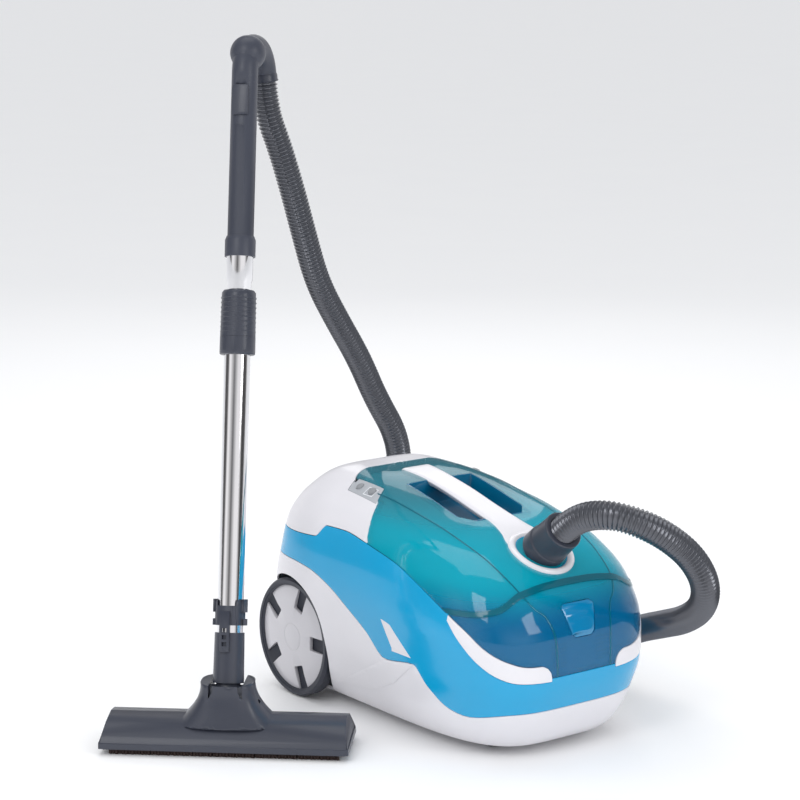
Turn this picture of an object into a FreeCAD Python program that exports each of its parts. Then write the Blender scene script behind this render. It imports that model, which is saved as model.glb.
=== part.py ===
import FreeCAD, Part
import math
import os
import Sketcher
from FreeCAD import Placement, Rotation, Vector

# Canister vacuum cleaner with a water tank, standing with its wand and floor head beside it.
# Millimetres, +Z up, floor at z = 0. The housing faces -Y and its right side is -X.

doc = FreeCAD.newDocument("canister_vacuum")

# ---------------------------------------------------------------- driving sizes

SIZES = [
    # the frame: where the housing's centre line and the wand's foot stand on the floor
    ("housing_x", 157.9), ("housing_y", 25.1), ("wand_x", -170.0), ("wand_y", 36.8),
    ("head_turn", -42.0), ("wand_lean", 15.0), ("wand_turn", -10.0),
    # housing
    ("body_length", 494.0), ("body_width", 310.0), ("body_height", 300.0), ("floor_gap", 14.0),
    ("wall", 2.8), ("seam_gap", 0.3), ("fit_gap", 0.3), ("run_gap", 0.05),
    # rear wheels and their wells
    ("tyre_dia", 157.0), ("tyre_width", 22.0), ("tyre_depth", 7.0), ("track", 295.0),
    ("axle_dia", 8.0), ("axle_y", 136.0), ("well_gap", 6.0), ("hub_slots", 5), ("hub_depth", 7.0),
    # front casters
    ("caster_dia", 26.0), ("caster_width", 11.0), ("caster_trail", 8.0), ("caster_x", 66.0),
    ("caster_y", -188.0), ("stem_dia", 8.0), ("caster_pin_dia", 4.0),
    # lid, its hinge and latch
    ("hinge_y", 91.0), ("hinge_z", 289.0), ("hinge_pin_dia", 5.0), ("hinge_eye_dia", 12.0),
    ("key_dia", 11.0),
    # hose socket and cuff in the lid
    ("socket_y", -194.0), ("socket_z", 241.0), ("socket_tilt", 33.0), ("cuff_tilt", 50.0),
    ("bezel_dia", 85.6), ("socket_dia", 66.4), ("cuff_dia", 54.0), ("cuff_length", 52.0),
    # carrying handle
    ("grip_width", 44.0), ("grip_thick", 10.0), ("grip_rise", 1.5), ("grip_front", -160.0), ("grip_rear", 62.0),
    ("tray_front", -110.0), ("tray_rear", 12.0), ("tray_width", 106.0), ("tray_wall", 2.0),
    # water tank
    ("tank_inset", 7.0), ("tank_wall", 2.2), ("tank_front", -236.0), ("tank_rear", -22.0),
    ("tank_floor", 42.0), ("tank_lid_thick", 11.0),
    # motor group and cable drum
    ("motor_dia", 116.0), ("motor_front", 8.0), ("motor_length", 112.0), ("motor_z", 112.0),
    ("shaft_dia", 8.0), ("fan_dia", 96.0), ("drum_dia", 120.0), ("drum_width", 34.0),
    # wand
    ("outer_tube_dia", 32.4), ("inner_tube_dia", 30.0), ("tube_wall", 0.9), ("flare_dia", 33.0),
    ("sleeve_dia", 43.6), ("collar_dia", 38.4),
    ("grip_tube_dia", 32.8), ("arch_radius", 38.0), ("arch_turn", 160.0), ("arch_ball_dia", 45.0),
    ("swivel_length", 10.0), ("slider_travel", 8.0), ("neck_dia", 38.0),
    # floor head
    ("head_length", 306.0), ("head_depth", 92.0), ("hinge_height", 58.0), ("barrel_dia", 42.0),
    ("barrel_width", 40.0), ("neck_slot", 42.0), ("pin_dia", 8.0), ("tuft_count", 11),
    # hose
    ("hose_dia", 36.0),
]

sheet = doc.addObject("Spreadsheet::Sheet", "sizes")
for row, (alias, number) in enumerate(SIZES, 1):
    sheet.set("A%d" % row, alias)
    sheet.set("B%d" % row, str(number))
    sheet.setAlias("B%d" % row, alias)
doc.recompute()


class Size:
    """A length with the expression text that binds it to the sheet."""

    def __init__(self, value, text=None):
        self.value = float(value)
        self.text = text or repr(float(value))

    def _join(self, other, sign, value):
        other = other if isinstance(other, Size) else Size(other)
        return Size(value(self.value, other.value), "(%s %s %s)" % (self.text, sign, other.text))

    def __add__(self, other):
        return self._join(other, "+", lambda a, b: a + b)

    def __sub__(self, other):
        return self._join(other, "-", lambda a, b: a - b)

    def __mul__(self, other):
        return self._join(other, "*", lambda a, b: a * b)

    def __truediv__(self, other):
        return self._join(other, "/", lambda a, b: a / b)

    def __neg__(self):
        return Size(0) - self


def cell(alias):
    return Size(sheet.get(alias), "sizes.%s" % alias)


def mm(alias):
    return float(sheet.get(alias))


def as_size(number):
    return number if isinstance(number, Size) else Size(number)


# ---------------------------------------------------------------- building helpers

SUB_PARTS = []


def keep(thing, label, place=None):
    """Name a finished sub-part and put it in its place."""
    thing.Label = label
    if place is not None:
        thing.Placement = place
    SUB_PARTS.append(thing)
    return thing


def feature(label, shape, place=None):
    """A sub-part whose shape is made with Part's own functions."""
    thing = doc.addObject("Part::Feature", label)
    thing.Shape = shape
    return keep(thing, label, place)


def outline_sketch(body, name, plane, points):
    """A closed outline whose corners are all bound to the sheet."""
    sketch = body.newObject("Sketcher::SketchObject", name)
    support = [item for item in body.Origin.OriginFeatures if item.Role == plane][0]
    sketch.AttachmentSupport = (support, [""])
    sketch.MapMode = "FlatFace"
    corners = [(as_size(across), as_size(up)) for across, up in points]
    count = len(corners)
    spots = [Vector(across.value, up.value, 0) for across, up in corners]
    for index in range(count):
        sketch.addGeometry(Part.LineSegment(spots[index], spots[(index + 1) % count]), False)
    for index in range(count):
        sketch.addConstraint(Sketcher.Constraint("Coincident", index, 2, (index + 1) % count, 1))
    for index, (across, up) in enumerate(corners):
        for kind, length in (("DistanceX", across), ("DistanceY", up)):
            made = sketch.addConstraint(Sketcher.Constraint(kind, -1, 1, index, 1, length.value))
            sketch.setExpression("Constraints[%d]" % made, length.text)
    return sketch


def turned_body(name, points):
    """A piece turned about Z: points are (radius, height)."""
    body = doc.addObject("PartDesign::Body", name)
    sketch = outline_sketch(body, name + "_outline", "XZ_Plane", points)
    spun = body.newObject("PartDesign::Revolution", name + "_turn")
    spun.Profile = sketch
    spun.ReferenceAxis = (sketch, ["V_Axis"])
    spun.Angle = 360
    return body


def turned(label, points, place):
    return keep(turned_body(label, points), label, place)


def padded_body(name, plane, points, thickness, both=False):
    """A piece padded from an outline on an origin plane."""
    body = doc.addObject("PartDesign::Body", name)
    sketch = outline_sketch(body, name + "_outline", plane, points)
    pad = body.newObject("PartDesign::Pad", name + "_pad")
    pad.Profile = sketch
    pad.Midplane = both
    pad.setExpression("Length", as_size(thickness).text)
    return body


def rod(name, radius, length, place):
    """A plain round bar along its own Z."""
    bar = doc.addObject("Part::Cylinder", name)
    bar.setExpression("Radius", as_size(radius).text)
    bar.setExpression("Height", as_size(length).text)
    bar.Placement = place
    return bar


def block(name, length, width, height, place):
    box = doc.addObject("Part::Box", name)
    box.setExpression("Length", as_size(length).text)
    box.setExpression("Width", as_size(width).text)
    box.setExpression("Height", as_size(height).text)
    box.Placement = place
    return box


def joined(name, pieces):
    fuse = doc.addObject("Part::MultiFuse", name)
    fuse.Shapes = pieces
    return fuse


def less(name, base, tool):
    cut = doc.addObject("Part::Cut", name)
    cut.Base = base
    cut.Tool = tool
    return cut


def solids(shape):
    """The shape's solids without a wrapper round a single one."""
    found = shape.Solids
    return found[0] if len(found) == 1 else Part.makeCompound(found)


def box_shape(low, high):
    size = high - low
    return Part.makeBox(size.x, size.y, size.z, low)


def spun_shape(points, place=None):
    """A solid turned about Z from a closed (radius, height) outline."""
    corners = [Vector(radius, 0, height) for radius, height in points]
    face = Part.Face(Part.makePolygon(corners + corners[:1]))
    solid = face.revolve(Vector(0, 0, 0), Vector(0, 0, 1), 360)
    if place is not None:
        solid = solid.transformed(place.toMatrix())
    return solid


def at(x=0, y=0, z=0, turn=None):
    return Placement(Vector(x, y, z), turn or Rotation())


ABOUT_Y = Vector(0, 1, 0)
ABOUT_X = Vector(1, 0, 0)
ABOUT_Z = Vector(0, 0, 1)
ALONG_X = Rotation(ABOUT_Y, 90)
ALONG_Y = Rotation(ABOUT_X, -90)
HOUSING = at(mm("housing_x"), mm("housing_y"), 0)

# ---------------------------------------------------------------- the housing's skin

# Points on the housing are written at its design size and scale with the driving sizes.
DESIGN_LENGTH = 494.0
DESIGN_WIDTH = 310.0
DESIGN_HEIGHT = 300.0

# height, half width, front, rear, and the y of the widest place
STATIONS = [
    (14, 118, -240, 205, 20), (22, 126, -248, 212, 20), (40, 138, -257, 217, 20),
    (60, 146, -264, 218, 20), (105, 154, -276, 218, 20), (150, 155, -274, 218, 20),
    (200, 149, -251, 207, 40), (235, 138, -204, 201, 57), (262, 120, -130, 188, 72),
    (276, 104, -74, 177, 82), (287, 89, -30, 166, 90), (294, 75, 6, 155, 95),
    (298, 62, 33, 144, 98), (300, 50, 55, 132, 100),
]
FRONT_POWER = 4.0
REAR_POWER = 4.5
SKIN_POINTS = 24
# Between these heights the skin is upright enough for its wall to be measured level.
SIDE_LOW = 50
SIDE_TOP = 210


def gx(x):
    return x * mm("body_width") / DESIGN_WIDTH


def gy(y):
    return y * mm("body_length") / DESIGN_LENGTH


def gz(z):
    """Heights on the housing run from its clear gap over the floor to its top."""
    low = STATIONS[0][0]
    rise = (mm("body_height") - mm("floor_gap")) / (DESIGN_HEIGHT - low)
    return mm("floor_gap") + (z - low) * rise


def skin_ring(station, grow):
    """One level ring of the skin, a rounded oblong, moved out by grow."""
    height, half, front, rear, widest = station
    level = gz(height)
    if height < SIDE_LOW:
        level = level - grow
    if height > SIDE_TOP:
        level = level + grow
    middle = gy(widest)
    points = []
    for step in range(SKIN_POINTS):
        angle = 2 * math.pi * step / SKIN_POINTS
        side = math.cos(angle)
        ahead = math.sin(angle)
        power = FRONT_POWER if ahead < 0 else REAR_POWER
        radius = (abs(side) ** power + abs(ahead) ** power) ** (-1 / power)
        reach = middle - gy(front) if ahead < 0 else gy(rear) - middle
        points.append(Vector((gx(half) + grow) * radius * side,
                             middle + (reach + grow) * radius * ahead, level))
    curve = Part.BSplineCurve()
    curve.interpolate(points, PeriodicFlag=True)
    return Part.Wire(curve.toShape())


def skin(grow=0.0):
    return Part.makeLoft([skin_ring(station, grow) for station in STATIONS], True, False)


REACH = gx(200)
OUTER = skin()
INNER = skin(-mm("wall"))
SHELL = OUTER.cut(INNER)


def side_region(points, gap=0.0):
    """A block through the housing with the given side view, its edges drawn in by gap."""
    corners = [Vector(-REACH, gy(y), gz(z)) for y, z in points]
    face = Part.Face(Part.makePolygon(corners + corners[:1]))
    if gap:
        face = face.makeOffset2D(-gap, join=2)
    return face.extrude(Vector(2 * REACH, 0, 0))


def front_region(points, front, rear, gap=0.0):
    """A block along Y with the given front view."""
    corners = [Vector(gx(x), gy(front), gz(z)) for x, z in points]
    face = Part.Face(Part.makePolygon(corners + corners[:1]))
    if gap:
        face = face.makeOffset2D(gap, join=2)
    return face.extrude(Vector(0, gy(rear) - gy(front), 0))


def top_region(points, low, high, gap=0.0):
    """A block along Z with the given plan."""
    corners = [Vector(gx(x), gy(y), gz(low)) for x, y in points]
    face = Part.Face(Part.makePolygon(corners + corners[:1]))
    if gap:
        face = face.makeOffset2D(gap, join=2)
    return face.extrude(Vector(0, 0, gz(high) - gz(low)))


def mirrored(points):
    return [(-x, y) for x, y in reversed(points)]


# Side-view seams, as (y, z): every line runs from rear to front.
LOW_SEAM = [(260, 186), (134, 186), (93, 183), (44, 170), (1, 150), (-39, 128), (-77, 102),
            (-131, 108), (-155, 84), (-183, 62), (-208, 56), (-258, 63), (-320, 63)]
COVER_SEAM = [(260, 221), (152, 221), (88, 224), (71, 240), (32, 241), (-18, 235)]
LID_EDGE = [(-18, 235), (-83, 223), (-127, 208), (-186, 181)]
TRIM_TOP = [(-186, 181), (-217, 163), (-239, 145), (-258, 132), (-273, 124), (-320, 124)]
TRIM_FOOT = [(-186, 174), (-211, 147), (-228, 130), (-250, 113), (-266, 105), (-320, 96)]
LID_REAR = [(99, 330), (99, 300), (82, 291), (11, 279), (-5, 260), (-18, 235)]
FRONT_SEAM = 107
FRONT_HALF = 51
KEYPAD = [(-79, 84), (-81, 22), (-103, 9), (-98, 76)]
LATCH = [(-25, 186), (-20, 190), (20, 190), (25, 186), (17, 155), (12, 151), (-12, 151), (-17, 155)]

GAP = mm("seam_gap")
LOWER_BLOCK = side_region([(260, -5)] + LOW_SEAM + [(-320, -5)], GAP)
TRIM_BLOCK = side_region(TRIM_TOP + TRIM_FOOT[::-1], GAP)
TRIM_CUTTER = side_region(TRIM_TOP + TRIM_FOOT[::-1])
NOTCH = box_shape(Vector(-gx(FRONT_HALF), gy(-320), gz(0)), Vector(gx(FRONT_HALF), gy(-180), gz(330)))
FRONT_NOTCH = box_shape(Vector(-gx(FRONT_HALF) + GAP, gy(-320), gz(FRONT_SEAM) + GAP),
                        Vector(gx(FRONT_HALF) - GAP, gy(-200), gz(140)))
BAND_BLOCK = side_region(LOW_SEAM + [(-320, FRONT_SEAM), (-240, FRONT_SEAM)] + LID_EDGE[::-1]
                         + COVER_SEAM[::-1][1:], GAP)
COVER_BLOCK = side_region(COVER_SEAM + LID_REAR[::-1][1:] + [(260, 330)], GAP)
LID_BLOCK = side_region(LID_REAR + LID_EDGE[1:] + TRIM_TOP[1:] + [(-320, 330)], GAP)
PADS = [top_region(KEYPAD, 230, 330, GAP), top_region(mirrored(KEYPAD), 230, 330, GAP)]
PAD_BLOCKS = [top_region(KEYPAD, 230, 330), top_region(mirrored(KEYPAD), 230, 330)]

# ---------------------------------------------------------------- shells of the housing


def wheel_well_tools():
    """The hollow of each wheel well and the thin tub that lines it."""
    radius = mm("tyre_dia") / 2 + mm("well_gap")
    face_x = mm("track") / 2 - mm("tyre_width") - mm("well_gap")
    hollows = []
    tubs = []
    for side in (-1, 1):
        turn = Rotation(ABOUT_Y, 90 * side)
        centre = at(side * face_x, mm("axle_y"), mm("tyre_dia") / 2, turn)
        hollow = Part.makeCylinder(radius, REACH).transformed(centre.toMatrix())
        tub = Part.makeCylinder(radius + mm("wall"), REACH + mm("wall"))
        tub.translate(Vector(0, 0, -mm("wall")))
        hollows.append(hollow)
        tubs.append(tub.transformed(centre.toMatrix()))
    return hollows, tubs


def make_lower_shell():
    hollows, tubs = wheel_well_tools()
    shape = SHELL.common(LOWER_BLOCK)
    for tub in tubs:
        shape = shape.fuse(tub.common(OUTER).common(LOWER_BLOCK))
    for hollow in hollows:
        shape = shape.cut(hollow)
    axle_hole = Part.makeCylinder(mm("axle_dia") / 2, 2 * REACH, Vector(-REACH, 0, 0), ABOUT_X)
    axle_hole.translate(Vector(0, mm("axle_y"), mm("tyre_dia") / 2))
    shape = shape.cut(axle_hole)
    pot_wall = 3.0
    pot_bore = mm("caster_dia") / 2 + mm("caster_trail") + 3.0
    pot_low = 6.0
    pot_top = mm("caster_dia") + 8.0
    stem_hole = mm("stem_dia") / 2 + mm("run_gap")
    for side in (-1, 1):
        spot = Vector(side * mm("caster_x"), mm("caster_y"), 0)
        pot = spun_shape([(0, pot_low), (pot_bore + pot_wall, pot_low),
                          (pot_bore + 2 * pot_wall, mm("floor_gap") + 4),
                          (pot_bore + pot_wall, pot_top + pot_wall), (0, pot_top + pot_wall)])
        hollow = spun_shape([(0, pot_low - 20), (pot_bore, pot_low - 20), (pot_bore, pot_top),
                             (stem_hole, pot_top), (stem_hole, pot_top + 20), (0, pot_top + 20)])
        pot.translate(spot)
        hollow.translate(spot)
        shape = shape.fuse(pot).cut(hollow)
    outlet = Part.makeCylinder(mm("shaft_dia") + 1.0, 60, Vector(gx(60), gy(180), gz(45)), Vector(0, 1, 0))
    seat = Part.makeCylinder(mm("shaft_dia") + 4.0 + mm("fit_gap"), 60, Vector(gx(60), gy(214.8), gz(45)), Vector(0, 1, 0))
    shape = shape.cut(outlet).cut(seat)
    feature("lower_shell", solids(shape), HOUSING)
    turn = Rotation(ABOUT_Y, 90)
    length = cell("wall") + cell("well_gap") + cell("tyre_width") - cell("hub_depth") - cell("fit_gap")
    pins = []
    for side in (-1, 1):
        inner = mm("track") / 2 - mm("tyre_width") - mm("well_gap") - mm("wall")
        start = inner if side > 0 else -inner - length.value
        pins.append(rod("axle_%s" % ("left" if side > 0 else "right"), cell("axle_dia") / 2, length,
                        at(start, mm("axle_y"), mm("tyre_dia") / 2, turn)))
    keep(joined("wheel_axles", pins), "wheel_axles", HOUSING)


def make_body_band():
    shape = SHELL.common(BAND_BLOCK).cut(TRIM_CUTTER.cut(NOTCH))
    feature("body_shell", solids(shape), HOUSING)


def make_trims():
    band = SHELL.common(TRIM_BLOCK)
    for side, label in ((-1, "trim_right"), (1, "trim_left")):
        low_x = gx(FRONT_HALF) + GAP
        low = Vector(low_x, gy(-320), 0) if side > 0 else Vector(-REACH, gy(-320), 0)
        high = Vector(REACH, 0, gz(300)) if side > 0 else Vector(-low_x, 0, gz(300))
        feature(label, solids(band.common(box_shape(low, high))), HOUSING)


HINGE_EYES = [(22.0, 50.0), (-50.0, -22.0)]


def hinge_cylinder(radius, low_x, high_x):
    bar = Part.makeCylinder(radius, high_x - low_x, Vector(low_x, mm("hinge_y"), mm("hinge_z")), ABOUT_X)
    return bar


def hinge_sweep():
    """How far from the hinge pin the lid's rear edge reaches."""
    edge_y = gy(99) - mm("hinge_y")
    edge_z = gz(300) - mm("hinge_z")
    return math.hypot(edge_y, edge_z) + 2 * mm("fit_gap")


def hinge_clearance():
    """The space that the lid's rear edge sweeps as it opens."""
    return hinge_cylinder(hinge_sweep(), -gx(86), gx(86))


def make_rear_cover():
    shape = SHELL.common(COVER_BLOCK).cut(hinge_clearance())
    gap_rear = mm("hinge_y") + hinge_sweep()
    shape = shape.cut(box_shape(Vector(-gx(86), gy(86), gz(291)), Vector(gx(86), gap_rear, gz(330))))
    for pad in PADS:
        shape = shape.cut(pad)
    half = HINGE_EYES[0][0] - mm("fit_gap")
    low = mm("hinge_z") - mm("hinge_eye_dia") / 2 - 4
    swept = mm("hinge_y") + hinge_sweep()
    eye = hinge_cylinder(mm("hinge_eye_dia") / 2, -half, half)
    arm = box_shape(Vector(-half, mm("hinge_y"), low), Vector(half, swept + 14, low + 6))
    riser = box_shape(Vector(-half, swept + 1, low), Vector(half, swept + 14, gz(330))).common(OUTER)
    shape = shape.fuse(eye).fuse(arm).fuse(riser)
    shape = shape.cut(hinge_cylinder(mm("hinge_pin_dia") / 2 + mm("run_gap"), -60, 60))
    grille = box_shape(Vector(-gx(78), gy(150), gz(226)), Vector(gx(78), gy(260), gz(264)))
    shape = shape.cut(grille)
    feature("rear_cover", solids(shape), HOUSING)


def make_exhaust_grille():
    band = SHELL.common(box_shape(Vector(-gx(78) + GAP, gy(150), gz(226) + GAP),
                                  Vector(gx(78) - GAP, gy(260), gz(264) - GAP)))
    slot_count = 15
    pitch = gx(140) / slot_count
    slot = 4.5
    for index in range(slot_count):
        x = (index - (slot_count - 1) / 2) * pitch
        band = band.cut(box_shape(Vector(x - slot / 2, gy(140), gz(231)), Vector(x + slot / 2, gy(270), gz(259))))
    feature("exhaust_grille", solids(band), HOUSING)


# ---------------------------------------------------------------- lid and what rides on it

# The socket looks up and forward out of the lid.
SOCKET = at(0, mm("socket_y"), mm("socket_z"), Rotation(ABOUT_X, mm("socket_tilt")))


CUFF = at(0, mm("socket_y"), mm("socket_z"), Rotation(ABOUT_X, mm("cuff_tilt")))


def socket_bar(radius, low=-60.0, high=60.0, place=SOCKET):
    """A round bar on the socket's axis."""
    return Part.makeCylinder(radius, high - low, Vector(0, 0, low)).transformed(place.toMatrix())


def tray_outline(inset):
    return [(mm("tray_rear") - inset, 262 + inset), (mm("tray_rear") - inset, 330),
            (mm("tray_front") + inset, 330), (mm("tray_front") + inset, 232 + inset)]


def tray_block(inset):
    """The finger recess under the carrying handle, drawn in by inset."""
    half = mm("tray_width") / 2 - inset
    corners = [Vector(-half, gy(y), gz(z)) for y, z in tray_outline(inset)]
    face = Part.Face(Part.makePolygon(corners + corners[:1]))
    return face.extrude(Vector(2 * half, 0, 0))


def make_bar():
    """The carrying handle: a strip over the recess that ends in a ring round the socket."""
    half = mm("grip_width") / 2
    rise = mm("grip_rise")
    over = skin(rise).cut(skin(mm("fit_gap") / 2))
    deep = skin(rise).cut(skin(-mm("grip_thick")))
    strip = box_shape(Vector(-half, gy(mm("grip_front")), gz(190)), Vector(half, gy(mm("grip_rear")), gz(340)))
    inside = mm("tray_wall") + mm("fit_gap")
    span = box_shape(Vector(-half, gy(mm("tray_front")) + inside, gz(190)),
                     Vector(half, gy(mm("tray_rear")) - inside, gz(340)))
    ring = socket_bar(mm("bezel_dia") / 2)
    bore = socket_bar(mm("socket_dia") / 2 + mm("fit_gap"))
    top = over.common(strip.fuse(ring))
    return top.fuse(deep.common(span)).cut(bore)


def make_lid():
    shape = SHELL.common(LID_BLOCK).fuse(SHELL.common(FRONT_NOTCH))
    for pad in PADS:
        shape = shape.cut(pad)
    shape = shape.cut(tray_block(-mm("fit_gap")))
    shape = shape.cut(socket_bar(mm("socket_dia") / 2 + mm("fit_gap")))
    shape = shape.cut(front_region(LATCH, -320, -200, 2 * GAP))
    for low, high in HINGE_EYES:
        eye = hinge_cylinder(mm("hinge_eye_dia") / 2, low, high)
        web = box_shape(Vector(low, mm("hinge_y") - 5, mm("hinge_z")), Vector(high, mm("hinge_y") + 5, gz(310)))
        shape = shape.fuse(eye).fuse(web.common(OUTER))
    shape = shape.cut(hinge_cylinder(mm("hinge_pin_dia") / 2 + mm("run_gap"), -60, 60))
    feature("lid_shell", solids(shape), HOUSING)
    pin = rod("lid_hinge_pin", cell("hinge_pin_dia") / 2, 104, at(-52, mm("hinge_y"), mm("hinge_z"), ALONG_X))
    keep(pin, "lid_hinge_pin", HOUSING.multiply(pin.Placement))


def make_grip():
    tray = tray_block(0).cut(tray_block(mm("tray_wall"))).common(skin(-0.1))
    feature("grip_tray", solids(tray), HOUSING)
    feature("carry_handle", solids(make_bar()), HOUSING)
    outer = cell("socket_dia") / 2
    ring = turned_body("socket_blank", [(0, -9), (outer, -9), (outer, 1), (outer - 2, 3), (0, 3)])
    ring.Placement = HOUSING.multiply(SOCKET)
    bore = rod("socket_bore", cell("cuff_dia") / 2 + cell("run_gap"), 120,
               HOUSING.multiply(CUFF).multiply(at(0, 0, -60)))
    keep(less("socket_ring", ring, bore), "socket_ring")


def make_cuff():
    base = cell("cuff_dia") / 2
    bore = cell("hose_dia") / 2 - 2
    tip = cell("hose_dia") / 2 + 4.5
    length = cell("cuff_length")
    turned("hose_cuff", [(bore, -12), (base, -12), (base, 12), (base - 2, 15), (tip + 1, length - 6),
                         (tip, length), (bore, length)], HOUSING.multiply(CUFF))


def make_latch():
    shape = SHELL.common(front_region(LATCH, -320, -200))
    feature("latch_button", solids(shape), HOUSING)


def make_panels():
    panels = [("control_panel_right", PAD_BLOCKS[0]), ("control_panel_left", PAD_BLOCKS[1])]
    keys = [("plus_key", -89, 62), ("minus_key", -91.5, 33), ("power_key", 90, 48)]
    radius = mm("key_dia") / 2
    lean = 26.0
    spots = []
    for label, x, y in keys:
        side = -1 if x < 0 else 1
        spot = at(gx(x), gy(y), gz(286), Rotation(ABOUT_Y, side * lean))
        spots.append((label, side, spot))
    for label, region in panels:
        side = -1 if label.endswith("right") else 1
        shape = SHELL.common(region).cut(hinge_clearance())
        for name, key_side, spot in spots:
            if key_side == side:
                hole = Part.makeCylinder(radius + mm("fit_gap"), 40, Vector(0, 0, -20))
                shape = shape.cut(hole.transformed(spot.toMatrix()))
        feature(label, solids(shape), HOUSING)
    for label, side, spot in spots:
        key = turned_body(label, [(0, -4), (cell("key_dia") / 2, -4), (cell("key_dia") / 2, 1.2),
                                  (cell("key_dia") / 2 - 1.2, 2.4), (0, 2.4)])
        keep(key, label, HOUSING.multiply(spot))


# ---------------------------------------------------------------- water tank

TANK_SLOPE_FRONT = 188.0
TANK_SLOPE_REAR = 231.0


def tank_region(front, rear, low_front, low_rear, high_front, high_rear):
    half = gx(150)
    corners = [Vector(-half, gy(rear), low_rear), Vector(-half, gy(rear), high_rear),
               Vector(-half, gy(front), high_front), Vector(-half, gy(front), low_front)]
    face = Part.Face(Part.makePolygon(corners + corners[:1]))
    return face.extrude(Vector(2 * half, 0, 0))


def make_tank():
    front = mm("tank_front")
    rear = mm("tank_rear")
    floor = mm("tank_floor")
    wall = mm("tank_wall")
    inset = mm("tank_inset")
    rim_front = gz(TANK_SLOPE_FRONT)
    rim_rear = gz(TANK_SLOPE_REAR)
    hold = skin(-inset)
    outside = hold.common(tank_region(front, rear, floor, floor, rim_front, rim_rear))
    inside = skin(-inset - wall).common(tank_region(front + wall, rear - wall, floor + wall, floor + wall,
                                                    rim_front + 60, rim_rear + 60))
    feature("water_tank", solids(outside.cut(inside)), HOUSING)
    seal = 2.0
    slab = hold.common(tank_region(front, rear, rim_front, rim_rear, rim_front + seal, rim_rear + seal))
    hole = skin(-inset - 3.5).common(tank_region(front + 4, rear - 4, rim_front - 20, rim_rear - 20,
                                                 rim_front + 20, rim_rear + 20))
    feature("tank_seal", solids(slab.cut(hole)), HOUSING)
    thick = mm("tank_lid_thick")
    base_front = rim_front + seal
    base_rear = rim_rear + seal
    plate = hold.common(tank_region(front, rear, base_front, base_rear, base_front + thick, base_rear + thick))
    hollow = skin(-inset - 3).common(tank_region(front + 3, rear - 3, base_front - 1, base_rear - 1,
                                                 base_front + thick - 3, base_rear + thick - 3))
    plate = plate.cut(hollow)
    inlet = Part.makeCylinder(17, 80, Vector(0, gy(-176), gz(180)))
    filter_hole = Part.makeCylinder(26, 80, Vector(0, gy(-75), gz(180)))
    feature("tank_lid", solids(plate.cut(inlet).cut(filter_hole)), HOUSING)
    turned("filter_insert", [(33, 0), (36, 0), (36, 106), (25, 106), (25, 103), (33, 103)],
           HOUSING.multiply(at(0, gy(-75), gz(104))))


# ---------------------------------------------------------------- motor group and drum


def motor_place(forward):
    """Turned pieces of the motor lie along Y, their own +Z to the rear."""
    return HOUSING.multiply(at(0, mm("motor_front") + forward, mm("motor_z"), ALONG_Y))


def make_motor():
    can = cell("motor_dia") / 2
    length = cell("motor_length")
    shaft = cell("shaft_dia") / 2
    turned("motor_housing", [(can - 20, 0), (can, 0), (can, length), (shaft + 6, length), (shaft + 6, length - 3),
                             (can - 3, length - 3), (can - 3, 3), (can - 20, 3)], motor_place(0))
    turned("motor_stator", [(26, 0), (can - 3, 0), (can - 3, 44), (26, 44)], motor_place(52))
    rotor = turned_body("motor_rotor", [(0, 8), (shaft, 8), (shaft, 52), (24, 54), (24, 94), (shaft, 96),
                                        (shaft, length + 5), (0, length + 5)])
    keep(rotor, "motor_rotor", motor_place(0))
    fan = cell("fan_dia") / 2
    turned("suction_fan", [(shaft, 12), (fan, 20), (fan, 22), (14, 18), (14, 30), (fan, 32), (fan, 34),
                           (shaft, 34)], motor_place(0))
    drum = cell("drum_dia") / 2
    width = cell("drum_width")
    turned("cable_drum", [(shaft + 0.1, 0), (drum, 0), (drum, 2.5), (32, 2.5), (32, width - 2.5),
                          (drum, width - 2.5), (drum, width), (shaft + 0.1, width)],
           motor_place(mm("motor_length") + 10))
    turned("drum_spindle", [(0, 0), (shaft, 0), (shaft, width + 4), (12, width + 4), (12, width + 8),
                            (0, width + 8)], motor_place(mm("motor_length") + 8))
    board = block("circuit_board", 70, 46, 1.6, HOUSING.multiply(at(-35, gy(44), gz(252))))
    keep(board, "circuit_board")
    filter_block = block("exhaust_filter", 120, 16, 30, HOUSING.multiply(at(-60, gy(168), gz(230))))
    keep(filter_block, "exhaust_filter")
    outlet = cell("shaft_dia") + 1.0
    turned("cable_outlet", [(4, 0), (outlet, 0), (outlet, 10), (outlet + 3, 10), (outlet + 3, 13), (4, 13)],
           HOUSING.multiply(at(gx(60), gy(205), gz(45), ALONG_Y)))


# ---------------------------------------------------------------- wheels and casters


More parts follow.
